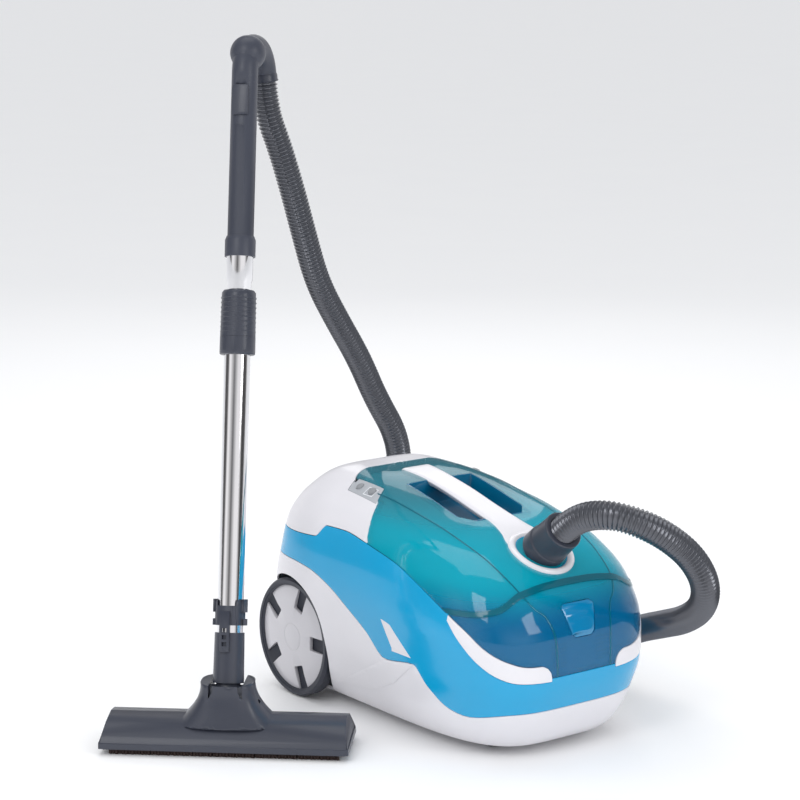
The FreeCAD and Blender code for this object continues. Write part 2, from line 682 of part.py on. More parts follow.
def make_wheels():
    tyre = cell("tyre_dia") / 2
    rim = tyre - cell("tyre_depth")
    width = cell("tyre_width")
    bore = cell("axle_dia") / 2 + cell("run_gap")
    disc = rim - 2.5
    depth = cell("hub_depth")
    for side, label in ((1, "left"), (-1, "right")):
        turn = Rotation(ABOUT_Y, -90 * side)
        place = HOUSING.multiply(at(side * mm("track") / 2, mm("axle_y"), mm("tyre_dia") / 2, turn))
        turned("tyre_" + label, [(rim, 0.6), (tyre - 3, 0), (tyre, 3.5), (tyre, width - 3.5),
                                 (tyre - 3, width), (rim, width)], place)
        turned("hub_" + label, [(bore, depth), (disc, depth), (disc, 1.5), (rim, 1.5), (rim, width), (rim - 3, width),
                                (rim - 3, depth + 4), (13, depth + 4), (13, width), (bore, width)], place)
        cover = turned_body("hub_cover_%s_disc" % label,
                            [(0, 3.5), (9.8, 3.5), (9.8, 3.1), (10.4, 3.1), (10.4, 3.4), (disc - 0.1, 2.4),
                             (disc - 0.1, depth), (0, depth)])
        slots = []
        count = int(mm("hub_slots"))
        for index in range(count):
            angle = 360.0 * index / count + 20
            slot = block("slot_%s_%d" % (label, index), 32, 12, 12, at())
            slot.Placement = at(0, 0, 0, Rotation(ABOUT_Z, angle)).multiply(at(mm("tyre_dia") / 2 - 42, -6, 0))
            slots.append(slot)
        keep(less("hub_cover_" + label, cover, joined("slots_" + label, slots)), "hub_cover_" + label, place)


def make_casters():
    radius = cell("caster_dia") / 2
    trail = cell("caster_trail")
    top = cell("caster_dia") + 8.0
    pin = cell("caster_pin_dia") / 2
    half = mm("caster_width") / 2 + 0.8
    ear = 3.0
    for side, label in ((1, "left"), (-1, "right")):
        spot = at(side * mm("caster_x"), mm("caster_y"), 0)
        stem = rod("stem_" + label, cell("stem_dia") / 2, 10.5, at(0, 0, top.value - 4))
        plate = rod("plate_" + label, 15, 3.4, at(0, 0, top.value - 4))
        ears = []
        for hand in (-1, 1):
            low_x = half if hand > 0 else -half - ear
            ears.append(block("ear_%s_%d" % (label, hand), ear, 12, radius + 9,
                              at(low_x, trail.value - 6, radius.value - 5)))
        web = block("web_" + label, 2 * half + 2 * ear, 9, 4, at(-half - ear, -4, top.value - 7.6))
        bar = rod("pin_" + label, pin, 2 * half + 2 * ear, at(-half - ear, trail.value, radius.value, ALONG_X))
        fork = joined("caster_fork_" + label, [stem, plate, web, bar] + ears)
        keep(fork, "caster_fork_" + label, HOUSING.multiply(spot))
        turn = at(0, trail.value, radius.value, ALONG_X)
        place = HOUSING.multiply(spot).multiply(turn).multiply(at(0, 0, -mm("caster_width") / 2))
        turned("caster_wheel_" + label,
               [(pin + cell("run_gap"), 0), (radius - 1.5, 0), (radius, 1.5), (radius, cell("caster_width") - 1.5),
                (radius - 1.5, cell("caster_width")), (pin + cell("run_gap"), cell("caster_width"))], place)


def make_screws():
    heads = []
    for index, (x, y) in enumerate([(-90, -120), (90, -120), (-80, 30), (80, 30)]):
        spot = at(gx(x), gy(y), 0)
        head = rod("screw_head_%d" % index, 4, 2, spot.multiply(at(0, 0, mm("floor_gap") - 2)))
        heads.append(head)
    keep(joined("base_screws", heads), "base_screws", HOUSING)


# ---------------------------------------------------------------- wand

HEAD = at(mm("wand_x"), mm("wand_y"), 0, Rotation(ABOUT_Z, mm("head_turn")))
PIVOT = HEAD.multiply(at(0, 0, mm("hinge_height")))
WAND = PIVOT.multiply(at(turn=Rotation(ABOUT_X, -mm("wand_lean"))))
GRIP = WAND.multiply(at(turn=Rotation(ABOUT_Z, mm("wand_turn"))))

# Stations along the wand, from the head's hinge.
NECK_LOW = 23.0
NECK_TOP = 84.5
FITTING_LOW = 93.5
FITTING_TOP = 124.5
SLEEVE_LOW = 428.5
SLEEVE_SPLIT = 449.5
SLEEVE_TOP = 507.5
FLARE_LOW = 517.5
GRIP_LOW = 549.5
GRIP_STEP = 572.5
ARCH_START = 783.0
SLIDER_LOW = 726.0
SLIDER_TOP = 764.0


def make_tubes():
    wall = cell("tube_wall")
    outer = cell("outer_tube_dia") / 2
    inner = cell("inner_tube_dia") / 2
    flare = cell("flare_dia") / 2
    turned("outer_tube", [(outer - wall, 60), (outer, 60), (outer, 470), (outer - wall, 470)], WAND)
    turned("inner_tube", [(inner - wall, 70), (inner, 70), (inner, FLARE_LOW), (flare, FLARE_LOW + 3),
                          (flare, GRIP_LOW + 24), (flare - wall, GRIP_LOW + 24), (flare - wall, FLARE_LOW + 3),
                          (inner - wall, FLARE_LOW)], WAND)
    gap = cell("run_gap")
    sleeve = cell("sleeve_dia") / 2
    turned("telescope_collar", [(outer + gap, SLEEVE_LOW), (sleeve - 0.6, SLEEVE_LOW), (sleeve + 0.4, SLEEVE_LOW + 2),
                                (sleeve + 0.3, SLEEVE_SPLIT - 0.2), (outer + gap, SLEEVE_SPLIT - 0.2)], WAND)
    turned("release_sleeve", [(outer + gap, SLEEVE_SPLIT), (sleeve + 0.2, SLEEVE_SPLIT), (sleeve - 0.6, SLEEVE_TOP - 3),
                              (sleeve - 3, SLEEVE_TOP), (inner + gap, SLEEVE_TOP), (inner + gap, 480),
                              (outer + gap, 478)], WAND)


def make_fitting():
    outer = cell("outer_tube_dia") / 2
    gap = cell("run_gap")
    collar = cell("collar_dia") / 2
    ring = turned_body("fitting_ring", [(outer + gap, FITTING_LOW), (collar - 0.6, FITTING_LOW),
                                        (collar - 0.6, FITTING_TOP - 3), (collar - 1.6, FITTING_TOP),
                                        (outer + gap, FITTING_TOP)])
    notch = block("fitting_notch", 24, 20, 12, at(-12, -mm("collar_dia") / 2 - 5, FITTING_TOP - 7))
    clips = []
    for hand in (-1, 1):
        x = mm("collar_dia") / 2 - 2.2 if hand > 0 else -mm("collar_dia") / 2 - 0.6
        clips.append(block("clip_low_%d" % hand, 2.8, 16, 8, at(x, -8, FITTING_LOW)))
        clips.append(block("clip_high_%d" % hand, 2.8, 16, 16, at(x, -8, FITTING_LOW + 16)))
    body = less("fitting_body", joined("fitting_parts", [ring] + clips), notch)
    keep(body, "lower_fitting", GRIP)
    neck = cell("neck_dia") / 2
    stub = cell("inner_tube_dia") / 2
    turned("neck_tube", [(stub + gap, NECK_LOW), (neck + 0.2, NECK_LOW), (neck - 0.6, NECK_TOP),
                         (outer + gap, NECK_TOP), (outer + gap, 60), (stub + gap, 60)], WAND)
    strip = block("strip_bar", 13, 3, 50, at(-6.5, -mm("neck_dia") / 2 - 2.4, 61))
    holes = []
    for index in range(3):
        holes.append(block("strip_hole_%d" % index, 6, 20, 5,
                           at(-3, -mm("neck_dia") / 2 - 10, 68 + 8.5 * index)))
    holes.append(rod("strip_core", neck + 0.3, 60, at(0, 0, 56)))
    keep(less("latch_strip", strip, joined("strip_holes", holes)), "latch_strip", GRIP)


def arch_point(radius, angle):
    """A point of the handle's bend; angle runs from the straight tube to the hose."""
    turn = math.radians(angle)
    return Vector(0, radius * (1 - math.cos(turn)), ARCH_START + radius * math.sin(turn))


def arch_wire(radius, start):
    line = Part.LineSegment(Vector(0, 0, start), Vector(0, 0, ARCH_START))
    bend = Part.Arc(arch_point(radius, 0), arch_point(radius, mm("arch_turn") / 2),
                    arch_point(radius, mm("arch_turn")))
    return Part.Wire([line.toShape(), bend.toShape()])


def tube_along(wire, start, radius, direction=ABOUT_Z):
    ring = Part.Wire(Part.makeCircle(radius, start, direction))
    return wire.makePipeShell([ring], True, True)


def make_handle():
    radius = mm("arch_radius")
    tube = mm("grip_tube_dia") / 2
    bore = tube - 2.6
    flare = mm("flare_dia") / 2 + mm("run_gap")
    collar = mm("collar_dia") / 2
    start = Vector(0, 0, GRIP_STEP)
    shape = tube_along(arch_wire(radius, GRIP_STEP), start, tube)
    ball = Part.makeSphere(mm("arch_ball_dia") / 2, arch_point(radius, 42))
    shape = shape.fuse(ball)
    ring = spun_shape([(0, GRIP_LOW), (collar, GRIP_LOW), (collar, GRIP_STEP - 2), (collar - 2, GRIP_STEP + 3),
                       (0, GRIP_STEP + 3)])
    shape = shape.fuse(ring)
    shape = shape.cut(tube_along(arch_wire(radius, GRIP_STEP + 10), Vector(0, 0, GRIP_STEP + 10), bore))
    shape = shape.cut(Part.makeCylinder(flare, 26, Vector(0, 0, GRIP_LOW - 1)))
    shape = shape.cut(Part.makeCylinder(bore, 20, Vector(0, 0, GRIP_LOW + 20)))
    pocket_low = SLIDER_LOW - mm("slider_travel") - 5
    pocket = box_shape(Vector(-11, -tube - 1, pocket_low), Vector(11, -tube + 2.0, SLIDER_TOP + 1))
    shape = shape.cut(pocket)
    feature("handle_shell", solids(shape.removeSplitter()), GRIP)
    slider = padded_body("air_slider", "XZ_Plane",
                         [(-9.5, SLIDER_LOW), (9.5, SLIDER_LOW), (10.5, SLIDER_LOW + 3), (10.5, SLIDER_TOP - 3),
                          (8, SLIDER_TOP), (-8, SLIDER_TOP), (-10.5, SLIDER_TOP - 3), (-10.5, SLIDER_LOW + 3)],
                         2.4)
    keep(slider, "air_slider", GRIP.multiply(at(0, -tube + 2.0 - 0.2, 0)))
    end = arch_point(radius, mm("arch_turn"))
    out = at(end.x, end.y, end.z, Rotation(ABOUT_X, -mm("arch_turn")))
    swivel = cell("grip_tube_dia") / 2
    length = cell("swivel_length")
    hose = cell("hose_dia") / 2
    turned("hose_swivel", [(hose - 4, 0.2), (swivel, 0.2), (swivel + 1, 3), (swivel + 1, length - 2),
                           (hose + 0.4, length), (hose - 4, length)], GRIP.multiply(out))
    return GRIP.multiply(out).multiply(at(0, 0, length.value))


# ---------------------------------------------------------------- floor head

HEAD_PROFILE = [(-46, 8), (-46, 15), (-41, 24), (-22, 36), (4, 42), (28, 38), (42, 25), (46, 14), (46, 8)]
HUMP = [(33, 62, -36, 42), (45, 50, -32, 38), (60, 39, -27, 34), (84, 33, -24, 30)]


def hump_wire(level, half, front, rear, grow=0.0):
    points = []
    count = 16
    middle = (front + rear) / 2
    depth = (rear - front) / 2
    for step in range(count):
        angle = 2 * math.pi * step / count
        side = math.cos(angle)
        ahead = math.sin(angle)
        radius = (abs(side) ** 3 + abs(ahead) ** 3) ** (-1 / 3)
        points.append(Vector((half + grow) * radius * side, middle + (depth + grow) * radius * ahead, level))
    curve = Part.BSplineCurve()
    curve.interpolate(points, PeriodicFlag=True)
    return Part.Wire(curve.toShape())


def head_bar(shrink):
    """The long bar of the head, its section scaled to the depth, its ends tapered."""
    scale = mm("head_depth") / 92.0
    half = mm("head_length") / 2 - shrink
    inset = shrink * 92.0 / mm("head_depth")
    corners = []
    for y, z in HEAD_PROFILE:
        pulled = y * (1 - inset / 46.0) * scale
        corners.append(Vector(-half, pulled, max(z - shrink, 0) if shrink else z))
    face = Part.Face(Part.makePolygon(corners + corners[:1]))
    return face.extrude(Vector(2 * half, 0, 0))


def make_head():
    bar = head_bar(0)
    half = mm("head_length") / 2
    slant = Part.makeBox(30, 200, 80, Vector(half - 2, -100, 16))
    slant.rotate(Vector(half - 2, 0, 16), Vector(0, 1, 0), -10)
    bar = bar.cut(slant)
    other = slant.mirror(Vector(0, 0, 0), Vector(1, 0, 0))
    bar = bar.cut(other)
    hump = Part.makeLoft([hump_wire(*row) for row in HUMP], True, False)
    shape = bar.fuse(hump)
    shape = shape.cut(head_bar(4.0))
    slot = mm("neck_slot") / 2
    well = box_shape(Vector(-slot, -23, 30), Vector(slot, 80, 120))
    shape = shape.cut(well)
    shape = shape.cut(Part.makeCylinder(mm("pin_dia") / 2, 80, Vector(-40, 0, mm("hinge_height")), ABOUT_X))
    feature("head_shell", solids(shape.removeSplitter()), HEAD)
    pin = rod("neck_pin", cell("pin_dia") / 2, 64, HEAD.multiply(at(-32, 0, mm("hinge_height"), ALONG_X)))
    keep(pin, "neck_pin")
    barrel = cell("barrel_dia") / 2
    width = cell("barrel_width")
    eye = turned_body("elbow_eye", [(cell("pin_dia") / 2 + cell("run_gap"), -width / 2), (barrel, -width / 2),
                                    (barrel, width / 2), (cell("pin_dia") / 2 + cell("run_gap"), width / 2)])
    eye.Placement = at(turn=ALONG_X)
    stub = turned_body("elbow_stub", [(11.5, 8), (cell("inner_tube_dia") / 2, 8), (cell("inner_tube_dia") / 2, 57),
                                      (11.5, 57)])
    keep(joined("neck_elbow", [eye, stub]), "neck_elbow", WAND)
    plate_half = mm("head_length") / 2 - 4.5
    plate_depth = mm("head_depth") / 2 - 4.6
    plate = block("sole_blank", 2 * plate_half, 2 * plate_depth, 3, at(-plate_half, -plate_depth, 6))
    mouth = block("sole_mouth", 150, 20, 12, at(-75, -10, 0))
    keep(less("sole_plate", plate, mouth), "sole_plate", HEAD)
    tufts = []
    count = int(mm("tuft_count"))
    span = mm("head_length") - 22
    pitch = span / count
    for row, y in enumerate((-38, 30)):
        tufts.append(block("brush_bar_%d" % row, span, 8, 1.5, at(-span / 2, y, 4.5)))
        for index in range(count):
            x = -span / 2 + pitch * index + 1.5
            tufts.append(block("tuft_%d_%d" % (row, index), pitch - 3.0, 8, 5.0, at(x, y, 0)))
    keep(joined("bristle_strips", tufts), "bristle_strips", HEAD)


# ---------------------------------------------------------------- hose

# The route from the cuff round the housing's left side to the floor behind it, then up to
# the handle. Its points are in the part's own frame.
FRONT_ROUTE = [
    (170, -273, 305), (193, -300, 298), (226, -317, 279), (261, -326, 249), (290, -322, 210),
    (311, -296, 171), (326, -250, 142), (343, -192, 120), (358, -133, 98), (364, -72, 70),
    (366, -6, 41), (365, 67, 23.5), (362, 142, 18.6),
]
JOIN = (356, 203, 18.6)
REAR_ROUTE = [
    (340, 312, 43), (329, 336, 98), (317, 334, 164), (308, 319, 230), (288, 301, 291),
    (246, 294, 350), (209, 282, 411), (164, 269, 469), (123, 258, 527), (96, 248, 592),
    (72, 240, 655), (50, 237, 714),
]
CUFF_RUN = 32.0
JOIN_RUN = 58.0
HANDLE_RUN = 40.0


def hose_tube(label, corners):
    """A plain tube: straight runs joined by arcs as large as the runs allow."""
    edges = []
    radii = []
    here = corners[0]
    for before, corner, after in zip(corners, corners[1:], corners[2:]):
        back = before - corner
        ahead = after - corner
        turn = math.pi - back.getAngle(ahead)
        reach = 0.45 * min(back.Length, ahead.Length)
        radius = reach / math.tan(turn / 2)
        radii.append(radius)
        back.normalize()
        ahead.normalize()
        first = corner + back * reach
        last = corner + ahead * reach
        inward = back + ahead
        inward.normalize()
        middle = corner + inward * (radius / math.cos(turn / 2) - radius)
        edges.append(Part.LineSegment(here, first).toShape())
        edges.append(Part.Arc(first, middle, last).toShape())
        here = last
    edges.append(Part.LineSegment(here, corners[-1]).toShape())
    path = Part.Wire(edges)
    radius = mm("hose_dia") / 2
    ring = Part.Wire(Part.makeCircle(radius, corners[0], corners[1] - corners[0]))
    tube = path.makePipeShell([ring], True, True)
    section = math.pi * radius ** 2 * path.Length
    print("%s length %.0f, radii %s, volume over section times length %.4f" % (
        label, path.Length, [round(value) for value in radii], tube.Volume / section))
    feature(label, tube)


def make_hose(handle_end):
    cuff_end = HOUSING.multiply(CUFF).multiply(at(0, 0, mm("cuff_length")))
    cuff_exit = cuff_end.multiply(at(0, 0, CUFF_RUN))
    handle_exit = handle_end.multiply(at(0, 0, HANDLE_RUN))
    front = [cuff_end.Base, cuff_exit.Base] + [Vector(*point) for point in FRONT_ROUTE]
    join = Vector(*JOIN)
    onward = join - front[-1]
    onward.normalize()
    rear = [join, join + onward * JOIN_RUN] + [Vector(*point) for point in REAR_ROUTE]
    hose_tube("hose_front", front + [join])
    hose_tube("hose_rear", rear + [handle_exit.Base, handle_end.Base])


# ---------------------------------------------------------------- build, check, write

make_lower_shell()
make_body_band()
make_trims()
make_rear_cover()
make_exhaust_grille()
make_lid()
make_grip()
make_cuff()
make_latch()
make_panels()
make_tank()
make_motor()
make_wheels()
make_casters()
make_screws()
make_tubes()
make_fitting()
HOSE_END = make_handle()
make_head()
make_hose(HOSE_END)
doc.recompute()

for thing in doc.Objects:
    bad = [word for word in thing.State if word in ("Invalid", "Error")]
    if bad:
        raise RuntimeError("%s is %s" % (thing.Label, bad))
for thing in SUB_PARTS:
    if thing.Shape.isNull() or not thing.Shape.isValid() or not thing.Shape.Solids:
        raise RuntimeError("%s has no valid solid" % thing.Label)

os.makedirs("parts", exist_ok=True)
for thing in SUB_PARTS:
    thing.Shape.exportStep("parts/%s.step" % thing.Label)
print("%d sub-parts" % len(SUB_PARTS))
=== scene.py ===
"""Canister vacuum cleaner: shells, hose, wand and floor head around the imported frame."""
import math
from bisect import bisect_right

import bmesh
import bpy
from bpy.props import FloatProperty, FloatVectorProperty, IntProperty, PointerProperty
from mathutils import Matrix, Vector


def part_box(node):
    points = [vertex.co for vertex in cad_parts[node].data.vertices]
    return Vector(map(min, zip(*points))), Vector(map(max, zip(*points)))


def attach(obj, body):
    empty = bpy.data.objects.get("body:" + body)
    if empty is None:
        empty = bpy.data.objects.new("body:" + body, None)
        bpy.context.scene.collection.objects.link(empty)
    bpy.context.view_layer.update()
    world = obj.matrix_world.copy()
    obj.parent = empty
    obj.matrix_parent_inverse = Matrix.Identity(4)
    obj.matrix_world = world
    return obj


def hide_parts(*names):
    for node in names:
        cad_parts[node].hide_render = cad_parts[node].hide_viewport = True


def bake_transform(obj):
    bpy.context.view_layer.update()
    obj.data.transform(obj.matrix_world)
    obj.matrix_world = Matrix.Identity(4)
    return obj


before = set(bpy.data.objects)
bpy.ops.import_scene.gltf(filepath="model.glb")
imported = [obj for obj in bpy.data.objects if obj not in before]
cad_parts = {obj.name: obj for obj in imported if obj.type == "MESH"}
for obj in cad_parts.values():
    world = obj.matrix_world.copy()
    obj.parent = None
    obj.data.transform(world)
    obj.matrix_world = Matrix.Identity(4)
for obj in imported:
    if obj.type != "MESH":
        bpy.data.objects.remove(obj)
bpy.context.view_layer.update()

bl_info = {
    "name": "Canister vacuum cleaner",
    "version": (1, 0, 0),
    "blender": (4, 5, 0),
    "location": "3D View > Sidebar > Cleaner",
    "description": "Builds the shells, hose, wand and floor head of a canister vacuum cleaner",
    "category": "Add Mesh",
}

# Sizes below are in millimetres from the middle of the housing, and HOUSING moves them into place.
MM = 0.001
HOUSING = Vector((157.9, 25.1, 0.0))
FLOOR_SPOT = Vector((-170.0, 36.8, 0.0))
HINGE_SPOT = Vector((-170.0, 36.8, 58.0))
WAND_TURN = Matrix.Rotation(math.radians(-42), 4, "Z") @ Matrix.Rotation(math.radians(-15), 4, "X")
WAND = Matrix.Translation(HINGE_SPOT) @ WAND_TURN
HEAD = Matrix.Translation(FLOOR_SPOT) @ Matrix.Rotation(math.radians(-42), 4, "Z")
HOUSE = Matrix.Translation(HOUSING)

# The skin: height, half width, front, rear, and where it is widest.
STATIONS = (
    (14, 118, -240, 205, 20), (22, 126, -248, 212, 20), (40, 138, -257, 217, 20),
    (60, 146, -264, 218, 20), (105, 154, -276, 218, 20), (150, 155, -274, 218, 20),
    (200, 149, -251, 207, 40), (235, 138, -204, 201, 57), (262, 120, -130, 188, 72),
    (276, 104, -74, 177, 82), (287, 89, -30, 166, 90), (294, 75, 6, 155, 95),
    (298, 62, 33, 144, 98), (300, 50, 55, 132, 100))
FRONT_POWER = 4.0
REAR_POWER = 4.5

LOW_SEAM = ((260, 186), (134, 186), (93, 183), (44, 170), (1, 150), (-39, 128), (-77, 102),
            (-131, 108), (-155, 84), (-183, 62), (-208, 56), (-258, 63), (-320, 63))
COVER_SEAM = ((260, 221), (152, 221), (88, 224), (71, 240), (32, 241), (-18, 235))
LID_EDGE = ((-18, 235), (-83, 223), (-127, 208), (-186, 181))
TRIM_TOP = ((-186, 181), (-217, 163), (-239, 145), (-258, 132), (-273, 124), (-320, 124))
TRIM_FOOT = ((-186, 174), (-211, 147), (-228, 130), (-250, 113), (-266, 105), (-320, 96))
LID_REAR = ((99, 300), (82, 291), (11, 279), (-5, 260), (-18, 235))

# The floor head's section, as (depth, height), and how its ends lean in above their upright foot.
HEAD_PROFILE = ((-46, 8), (-46, 15), (-41, 24), (-22, 36), (4, 42), (28, 38), (42, 25), (46, 14), (46, 8))
HEAD_HALF = 153
HEAD_FOOT = 16
HEAD_LEAN = math.tan(math.radians(10))

# The hose's line from the cuff over the front to the floor, and on from there up to the handle.
FRONT_ROUTE = (
    (157.9, -208.7, 274.4), (157.9, -233.2, 295.0), (170, -273, 305), (193, -300, 298),
    (226, -317, 279), (261, -326, 249), (290, -322, 210), (311, -296, 171), (326, -250, 142),
    (343, -192, 120), (358, -133, 98), (364, -72, 70), (366, -6, 41), (365, 67, 23.5),
    (362, 142, 18.6), (356, 203, 18.6))
REAR_ROUTE = (
    (356, 203, 18.6), (350.3, 260.7, 18.6), (340, 312, 43), (329, 336, 98), (317, 334, 164),
    (308, 319, 230), (288, 301, 291), (246, 294, 350), (209, 282, 411), (164, 269, 469),
    (123, 258, 527), (96, 248, 592), (72, 240, 655), (50, 237, 714), (29.2, 234.5, 758.3),
    (25.3, 233.7, 798.1))

# The camera's spot, its view's right, up and back, and its lens.
CAMERA_SPOT = (-1.7308, -2.3858, 0.9939)
CAMERA_AXES = ((0.7986, -0.6018, 0.0), (0.1148, 0.1524, 0.9816), (-0.5908, -0.7840, 0.1908))
CAMERA_LENS = 109.9

# Each light's name, place, size and power.
LIGHTS = (
    ("key_light", (-2.3, -0.9, 2.4), (1.0, 1.6), 20), ("fill_light", (0.9, -2.9, 1.7), (0.9, 1.3), 16),
    ("top_light", (0.2, 0.6, 3.0), (2.2, 1.4), 14), ("rear_light", (1.8, 2.2, 1.8), (1.6, 1.2), 8))
LIGHT_AIM = Vector((0, 0, 0.25))

# How bright the surroundings are at each part of the way round.
WALL_TONES = (
    (0.0, 0.95), (0.10, 0.12), (0.19, 0.95), (0.27, 0.95), (0.33, 0.06), (0.41, 0.10), (0.46, 0.9),
    (0.56, 0.95), (0.62, 0.10), (0.68, 0.14), (0.73, 0.9), (0.80, 0.75), (0.86, 0.08), (0.93, 0.12),
    (0.97, 0.95))


class Curve1D:
    """A smooth line through points that never overshoots them."""

    def __init__(self, pairs):
        pairs = sorted(pairs)
        self.x = [float(p[0]) for p in pairs]
        self.y = [float(p[1]) for p in pairs]
        rise = [(self.y[i + 1] - self.y[i]) / (self.x[i + 1] - self.x[i]) for i in range(len(pairs) - 1)]
        self.m = [rise[0]]
        for a, b in zip(rise, rise[1:]):
            self.m.append(0.0 if a * b <= 0 else 2 * a * b / (a + b))
        self.m.append(rise[-1])

    def __call__(self, x):
        if x <= self.x[0]:
            return self.y[0]
        if x >= self.x[-1]:
            return self.y[-1]
        i = bisect_right(self.x, x) - 1
        h = self.x[i + 1] - self.x[i]
        t = (x - self.x[i]) / h
        return ((2 * t ** 3 - 3 * t ** 2 + 1) * self.y[i] + (t ** 3 - 2 * t ** 2 + t) * h * self.m[i]
                + (3 * t ** 2 - 2 * t ** 3) * self.y[i + 1] + (t ** 3 - t ** 2) * h * self.m[i + 1])


SKIN_HALF, SKIN_FRONT, SKIN_REAR, SKIN_WIDEST = (
    Curve1D([(row[0], row[k]) for row in STATIONS]) for k in range(1, 5))
LOW, COVER, EDGE, TOP, FOOT, BACK = (
    Curve1D(points) for points in (LOW_SEAM, COVER_SEAM, LID_EDGE, TRIM_TOP, TRIM_FOOT, LID_REAR))
SKIN_LOW, SKIN_HIGH = STATIONS[0][0], STATIONS[-1][0]


def skin_ring(z, angle):
    """The skin's point at a height and an angle about the widest line."""
    c, s = math.cos(angle), math.sin(angle)
    power = FRONT_POWER if s < 0 else REAR_POWER
    reach = (abs(c) ** power + abs(s) ** power) ** (-1 / power)
    middle = SKIN_WIDEST(z)
    length = SKIN_REAR(z) - middle if s >= 0 else middle - SKIN_FRONT(z)
    return Vector((SKIN_HALF(z) * reach * c, middle + length * reach * s, z))


def skin_depth(p):
    """Below 1 inside the skin, above 1 outside."""
    z = min(max(p.z, SKIN_LOW), SKIN_HIGH)
    middle = SKIN_WIDEST(z)
    rear = p.y >= middle
    power = REAR_POWER if rear else FRONT_POWER
    length = SKIN_REAR(z) - middle if rear else middle - SKIN_FRONT(z)
    value = (abs(p.x) / SKIN_HALF(z)) ** power + (abs(p.y - middle) / length) ** power
    return value ** (1 / power) + max(0.0, p.z - SKIN_HIGH)


def skin_hit(start, direction, reach=160.0):
    """Where a line from outside going inwards meets the skin."""
    low, high = 0.0, reach
    for _ in range(26):
        mid = (low + high) / 2
        if skin_depth(start + direction * mid) > 1:
            low = mid
        else:
            high = mid
    return start + direction * (low + high) / 2


def skin_top(x, y):
    """The skin's height above a place on the plan."""
    return skin_hit(Vector((x, y, 360.0)), Vector((0, 0, -1)), 300.0).z


# --------------------------------------------------------------------------- meshes

def bevel(bm, edges, width, segments=3):
    """Rounds the given edges."""
    bmesh.ops.bevel(bm, geom=edges, offset=width, segments=segments, profile=0.5, affect="EDGES",
                    clamp_overlap=True, material=-1)


def sharp_edges(bm, degrees):
    """The edges that turn by more than an angle."""
    limit = math.radians(degrees)
    return [e for e in bm.edges if len(e.link_faces) == 2 and e.calc_face_angle(0.0) > limit]


def spun(profile, steps):
    """A turned bmesh about Z from (radius, height) pairs."""
    bm = bmesh.new()
    verts = [bm.verts.new((max(r, 0.0), 0, z)) for r, z in profile]
    edges = [bm.edges.new(pair) for pair in zip(verts, verts[1:])]
    bmesh.ops.spin(bm, geom=verts + edges, cent=(0, 0, 0), axis=(0, 0, 1), angle=2 * math.pi,
                   steps=steps, use_merge=True)
    bmesh.ops.remove_doubles(bm, verts=bm.verts, dist=0.001)
    bmesh.ops.recalc_face_normals(bm, faces=bm.faces)
    return bm


def rounded(profile, radius, steps=4):
    """The same profile with its inner corners rounded."""
    out = [profile[0]]
    for before, corner, after in zip(profile, profile[1:], profile[2:]):
        a, b, c = Vector(before), Vector(corner), Vector(after)
        into, away = a - b, c - b
        cut = min(radius, into.length * 0.45, away.length * 0.45)
        p, q = b + into.normalized() * cut, b + away.normalized() * cut
        for k in range(steps + 1):
            t = k / steps
            spot = p * (1 - t) ** 2 + b * 2 * t * (1 - t) + q * t ** 2
            out.append((spot.x, spot.y))
    out.append(profile[-1])
    return out


def sheet(place, columns, rows, join=0.004):
    """A grid whose points a function of (u, v) puts in place."""
    bm = bmesh.new()
    bmesh.ops.create_grid(bm, x_segments=columns, y_segments=rows, size=0.5)
    for v in bm.verts:
        v.co = place(v.co.x + 0.5, v.co.y + 0.5)
    bmesh.ops.remove_doubles(bm, verts=bm.verts, dist=join)
    bmesh.ops.recalc_face_normals(bm, faces=bm.faces)
    return bm


def slab(low, high):
    """A block between two corners."""
    bm = bmesh.new()
    bmesh.ops.create_cube(bm, size=1.0)
    low, high = Vector(low), Vector(high)
    for v in bm.verts:
        v.co = Vector((low[k] + (high[k] - low[k]) * (v.co[k] + 0.5) for k in range(3)))
    return bm


def merge(target, part, matrix=None):
    """Adds one bmesh to another."""
    if matrix is not None:
        bmesh.ops.transform(part, matrix=matrix, verts=part.verts)
    mesh = bpy.data.meshes.new("scratch")
    part.to_mesh(mesh)
    part.free()
    target.from_mesh(mesh)
    bpy.data.meshes.remove(mesh)
    return target


def scratch_object(bm):
    """A passing object that holds the bmesh while modifiers work on it."""
    mesh = bpy.data.meshes.new("scratch")
    bm.to_mesh(mesh)
    bm.free()
    item = bpy.data.objects.new("scratch", mesh)
    bpy.context.collection.objects.link(item)
    return item


def discard(item):
    """Removes a passing object and its mesh."""
    mesh = item.data
    bpy.data.objects.remove(item)
    bpy.data.meshes.remove(mesh)


def worked(bm, modifiers):
    """The bmesh after a list of (type, settings) modifiers, applied."""
    item = scratch_object(bm)
    for kind, settings in modifiers:
        step = item.modifiers.new(kind.lower(), kind)
        for key, value in settings.items():
            setattr(step, key, value)
    bpy.context.view_layer.update()
    mesh = bpy.data.meshes.new_from_object(item.evaluated_get(bpy.context.evaluated_depsgraph_get()))
    out = bmesh.new()
    out.from_mesh(mesh)
    bpy.data.meshes.remove(mesh)
    discard(item)
    return out


def carved(bm, cutter):
    """The first solid less the second."""
    tool = scratch_object(cutter)
    out = worked(bm, [("BOOLEAN", {"operation": "DIFFERENCE", "object": tool, "solver": "EXACT"})])
    discard(tool)
    return out


